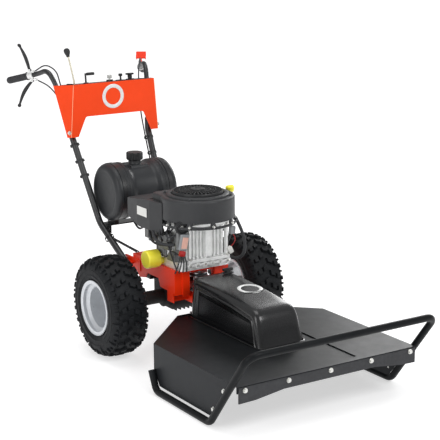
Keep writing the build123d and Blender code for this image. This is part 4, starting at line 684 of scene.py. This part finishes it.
# dipstick with its yellow cap, and the yellow handle label on the cowl
tube = hose("dipstick_tube",
            [(0.0945, -0.038, 0.421), (0.140, -0.039, 0.432), (0.170, -0.012, 0.500),
             (0.170, -0.005, 0.560), (0.170, -0.005, 0.645)], 0.0068, PLASTIC, "chassis")
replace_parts(tube, "dipstick")
cap = Build()
cap.turned((0.170, -0.005, 0.640), (0, 0, 1),
           [(0, 0.0135), (0.001, 0.0165), (0.006, 0.0175), (0.012, 0.0175), (0.0135, 0.0185),
            (0.021, 0.0185), (0.0235, 0.016), (0.0235, 0.005)], 40)
cap.stack((0.170, -0.005, 0.6625), (0, 0, 1), (0, 1, 0), [(0, 0.030, 0.008), (0.0045, 0.028, 0.006)])
cap.done("dipstick_cap", YELLOW, "chassis", "yellow_filter", bevel=0.0006)
tag = Build()
out = Vector((0.955, -0.297, 0)).normalized()
tag.stack(Vector((0, CRANK_Y, 0.562)) + out * 0.1512, (0, 0, 1), out,
          [(0, 0.020, 0.0022), (0.002, 0.024, 0.003), (0.054, 0.024, 0.003), (0.056, 0.020, 0.0022)])
tag.done("cowl_tag", YELLOW, "chassis", "yellow_filter", bevel=0.0004)

# filter box: plain label, clips
filter_label = Build()
filter_label.stack((-0.1642, 0.140, 0.554), (0, 0, 1), (-1, 0, 0),
                   [(0, 0.078, 0.0014), (0.020, 0.078, 0.0014), (0.036, 0.078, 0.0014)])
filter_label.done("filter_box_label", LABEL, "chassis", "charcoal_plastic", bevel=0.0003)
clips = Build()
for x, y, z in ((-0.070, 0.150, 0.6175), (-0.020, 0.215, 0.6085), (-0.120, 0.06, 0.6265)):
    clips.stack((x, y, z - 0.002), (0, -0.12, 1), (0, 1, 0),
                [(0, 0.032, 0.020), (0.006, 0.028, 0.016), (0.009, 0.016, 0.008)])
clips.done("filter_box_clips", PLASTIC, "chassis", "black_plastic", bevel=0.0012)

# guards that close the belt window on both sides
guard = Build()
for side_x in (-1, 1):
    guard.stack((side_x * 0.0755, -0.0552, 0.2480), (0, 0, 1), (0, 1, 0),
                [(0, 0.030, 0.003), (0.002, 0.033, 0.0042), (0.108, 0.033, 0.0042), (0.110, 0.030, 0.003)])
guard.done("belt_window_guards", RED, "chassis", "red_orange_paint", bevel=0.0006)

# hood latch
latch = Build()
latch.stack((0.066, -0.146, 0.3430), (0, 0, 1), (0, 1, 0),
            [(0, 0.046, 0.024), (0.004, 0.042, 0.022), (0.0045, 0.018, 0.016), (0.012, 0.016, 0.014)])
latch.stack((0.042, -0.146, 0.358), (1, 0, 0), (0, 0, 1),
            [(0, 0.009, 0.008), (0.004, 0.012, 0.012), (0.044, 0.012, 0.012), (0.048, 0.009, 0.008)])
latch.done("hood_latch", PLASTIC, "deck", "black_plastic", bevel=0.0012)


# ---------------------------------------------------------------- controls
def hand_lever(node, pivot, angle, length, wide, bow, body):
    """Bowed lever blade with a hinge barrel and a rounded tip."""
    x = Vector((-0.556265, 0.831005, 0))
    z = Vector((0.831005, 0.556265, 0))
    y = Vector((0, 0, 1))
    a = radians(angle)
    along = x * cos(a) + y * sin(a)
    across = y * cos(a) - x * sin(a)
    o = Vector(pivot)
    loops = []
    for i in range(15):
        t = i / 14
        c = o + along * length * t + across * bow * sin(pi * t) * length
        w = wide * (0.55 + 0.35 * sin(pi * min(1, t * 1.15))) * 0.5
        d = 0.0058 - 0.0016 * t
        ring = []
        for k in range(12):
            q = 2 * pi * k / 12
            ring.append(c + across * w * cos(q) + z * d * sin(q))
        loops.append(ring)
    shape = Build()
    shape.rings(loops)
    tip = o + along * length
    shape.turned(tip - along * wide * 0.5, along,
                 [(wide * 0.5 + wide * 0.42 * -cos(pi * k / 8), max(0.0004, wide * 0.42 * sin(pi * k / 8)))
                  for k in range(9)], 20)
    shape.turned(o - z * 0.0047, z,
                 [(0, 0.0032), (0, 0.0062), (0.0006, 0.0066), (0.0088, 0.0066), (0.0094, 0.0062),
                  (0.0094, 0.0032)], 28, closed=True, cap=False)
    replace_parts(shape.done(node + "_blade", PLASTIC, body, "black_plastic", angle=50), node)


hand_lever("right_upper_lever", (-0.28126, 0.917736, 1.07791), 66, 0.116, 0.020, 0.05, "upper_lever")
hand_lever("right_lower_lever", (-0.274235, 0.907241, 1.03099), -58, 0.134, 0.020, 0.07, "lower_lever")

rod = hose("shift_rod",
           [(-0.178, 0.685, 0.934), (-0.178, 0.686, 1.000), (-0.178, 0.689, 1.045), (-0.181, 0.707, 1.095),
            (-0.184, 0.727, 1.150)], 0.0038, BONE, "shift")
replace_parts(rod, "shift_lever")
hub = Build()
hub.turned((-0.184, 0.685, 0.934), (1, 0, 0),
           [(0, 0.0053), (0, 0.0102), (0.0008, 0.011), (0.0112, 0.011), (0.012, 0.0102), (0.012, 0.0053)],
           32, closed=True, cap=False)
hub.done("shift_hub", STEEL, "shift", "steel")
knob = Build()
lean = Vector((-0.05, 0.34, 0.94)).normalized()
knob.turned(Vector((-0.184, 0.727, 1.146)), lean,
            [(0, 0.005), (0.001, 0.0068), (0.006, 0.0078), (0.013, 0.0105), (0.021, 0.0132),
             (0.029, 0.0138), (0.034, 0.0118), (0.038, 0.0070), (0.0388, 0.0020)], 32)
knob.done("shift_knob", PLASTIC, "shift", "black_plastic", angle=50)
screw = Build()
screw.bolt((-0.2192, 0.664, 0.826), (-0.93, -0.37, 0), 0.012, 0.009, shaft=False)
screw.bolt((0.2192, 0.664, 0.826), (0.93, -0.37, 0), 0.012, 0.009, shaft=False)
screw.done("console_screws", ZINC, "chassis", "zinc_bolts", angle=30)

# thin pale orange beads along both console folds: a painted highlight where the folds catch the light
for name, way in (("right_console_fold_highlight", -1), ("left_console_fold_highlight", 1)):
    hose(name,
         [(way * 0.1988, 0.6552, 1.0330), (way * 0.2074, 0.6552, 0.9195), (way * 0.2158, 0.6552, 0.8070)],
         0.0013, FOLD_HIGHLIGHT, "chassis")


# ---------------------------------------------------------------- fuel tank
def fuel_tank():
    half = [(0, 0.112), (0.044, 0.112), (0.050, 0.1126), (0.056, 0.1150), (0.062, 0.1195), (0.067, 0.1228),
            (0.073, 0.124), (0.083, 0.124), (0.0845, 0.1222), (0.0885, 0.1222), (0.090, 0.124),
            (0.1016, 0.124), (0.1022, 0.1199), (0.1218, 0.1199), (0.1224, 0.124), (0.128, 0.1236),
            (0.134, 0.1218), (0.140, 0.1178), (0.1448, 0.1118), (0.148, 0.1045), (0.1496, 0.097),
            (0.1490, 0.092), (0.1476, 0.088), (0.1468, 0.060)]
    profile = [(-a, r) for a, r in reversed(half[1:])] + half
    shape = Build()
    shape.turned(TANK, (1, 0, 0), profile, 96)
    body = shape.done("fuel_tank_skin", TANKSKIN, "chassis", "black_plastic", angle=40)
    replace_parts(body, "fuel_tank")
    neck = Build()
    neck.turned(TANK + Vector((0, 0, 0.106)), (0, 0, 1),
                [(0, 0.031), (0.005, 0.030), (0.008, 0.0275), (0.0215, 0.027), (0.0215, 0.022),
                 (0.010, 0.022)], 48)
    neck.stack(TANK + Vector((0, 0, 0.100)), (0, 0, 1), (0, 1, 0),
               [(0, 0.086, 0.10), (0.0115, 0.082, 0.088), (0.0128, 0.078, 0.080)])
    neck.done("fuel_tank_neck", TANKSKIN, "chassis", "black_plastic", bevel=0.002, angle=40)


fuel_tank()

# ---------------------------------------------------------------- floor, light, camera
floor_mesh = bpy.data.meshes.new("studio_floor")
size = 30.0
floor_mesh.from_pydata([(-size, -size, -0.0005), (size, -size, -0.0005), (size, size, -0.0005),
                        (-size, size, -0.0005)], [], [(0, 1, 2, 3)])
floor = bpy.data.objects.new("studio_floor", floor_mesh)
scene.collection.objects.link(floor)
paper = material("studio_paper", (0.62, 0.62, 0.625, 1), 0.9, vary=0.004, blotch=1.2, grain=200, bump=0.01,
                 gloss=0.05)
# the floor glows a little more with distance, so that it meets the white backdrop
paper_shader = paper.node_tree.nodes["Principled BSDF"]
paper_shader.inputs["Emission Color"].default_value = (1.0, 1.0, 1.0, 1)
tree = paper.node_tree
place = tree.nodes.new("ShaderNodeTexCoord")
reach = tree.nodes.new("ShaderNodeVectorMath")
reach.operation = "LENGTH"
tree.links.new(place.outputs["Object"], reach.inputs[0])
glow = tree.nodes.new("ShaderNodeMapRange")
for socket, value in (("From Min", 1.2), ("From Max", 6.0), ("To Min", 0.58), ("To Max", 0.80)):
    glow.inputs[socket].default_value = value
tree.links.new(reach.outputs["Value"], glow.inputs["Value"])
tree.links.new(glow.outputs["Result"], paper_shader.inputs["Emission Strength"])
floor_mesh.materials.append(paper)

world = bpy.data.worlds.new("studio")
scene.world = world
world.use_nodes = True
background = world.node_tree.nodes["Background"]
background.inputs["Color"].default_value = (1.0, 1.0, 1.0, 1)
# the backdrop looks white, and lights the machine at half that strength
rays = world.node_tree.nodes.new("ShaderNodeLightPath")
power = world.node_tree.nodes.new("ShaderNodeMapRange")
power.inputs["To Min"].default_value = 0.50
power.inputs["To Max"].default_value = 1.06
world.node_tree.links.new(rays.outputs["Is Camera Ray"], power.inputs["Value"])
world.node_tree.links.new(power.outputs["Result"], background.inputs["Strength"])


def area(name, place, aim, wide, high, power):
    data = bpy.data.lights.new(name, "AREA")
    data.shape = "RECTANGLE"
    data.size = wide
    data.size_y = high
    data.energy = power
    lamp = bpy.data.objects.new(name, data)
    scene.collection.objects.link(lamp)
    lamp.location = place
    lamp.rotation_euler = (Vector(aim) - Vector(place)).to_track_quat("-Z", "Y").to_euler()
    return lamp


area("key", (0.9, -4.2, 3.9), (0, -0.1, 0.4), 2.6, 1.8, 100)
area("top", (-0.4, 0.2, 5.2), (0, 0, 0.3), 3.0, 3.0, 70)
area("side", (-4.6, -1.2, 2.4), (0, 0, 0.6), 1.6, 2.4, 55)
area("rim", (3.6, 2.2, 2.2), (0, 0, 0.5), 2.0, 1.6, 60)

camera_data = bpy.data.cameras.new("camera")
camera = bpy.data.objects.new("camera", camera_data)
scene.collection.objects.link(camera)
scene.camera = camera
camera_data.lens = 110.6
camera_data.sensor_width = 36.0
az, el, roll = radians(32.6251), radians(13.4561), radians(-0.354)
forward = Vector((sin(az) * cos(el), cos(az) * cos(el), -sin(el)))
flat_right = Vector((cos(az), -sin(az), 0))
flat_up = flat_right.cross(forward)
right = flat_right * cos(roll) + flat_up * sin(roll)
up = right.cross(forward)
turned = Matrix((right, up, -forward)).transposed().to_4x4()
turned.translation = Vector((-2.7856, -4.5452, 1.8165))
camera.matrix_world = turned
scene.view_settings.view_transform = "Standard"
scene.view_settings.look = "None"
scene.view_settings.exposure = 0.0
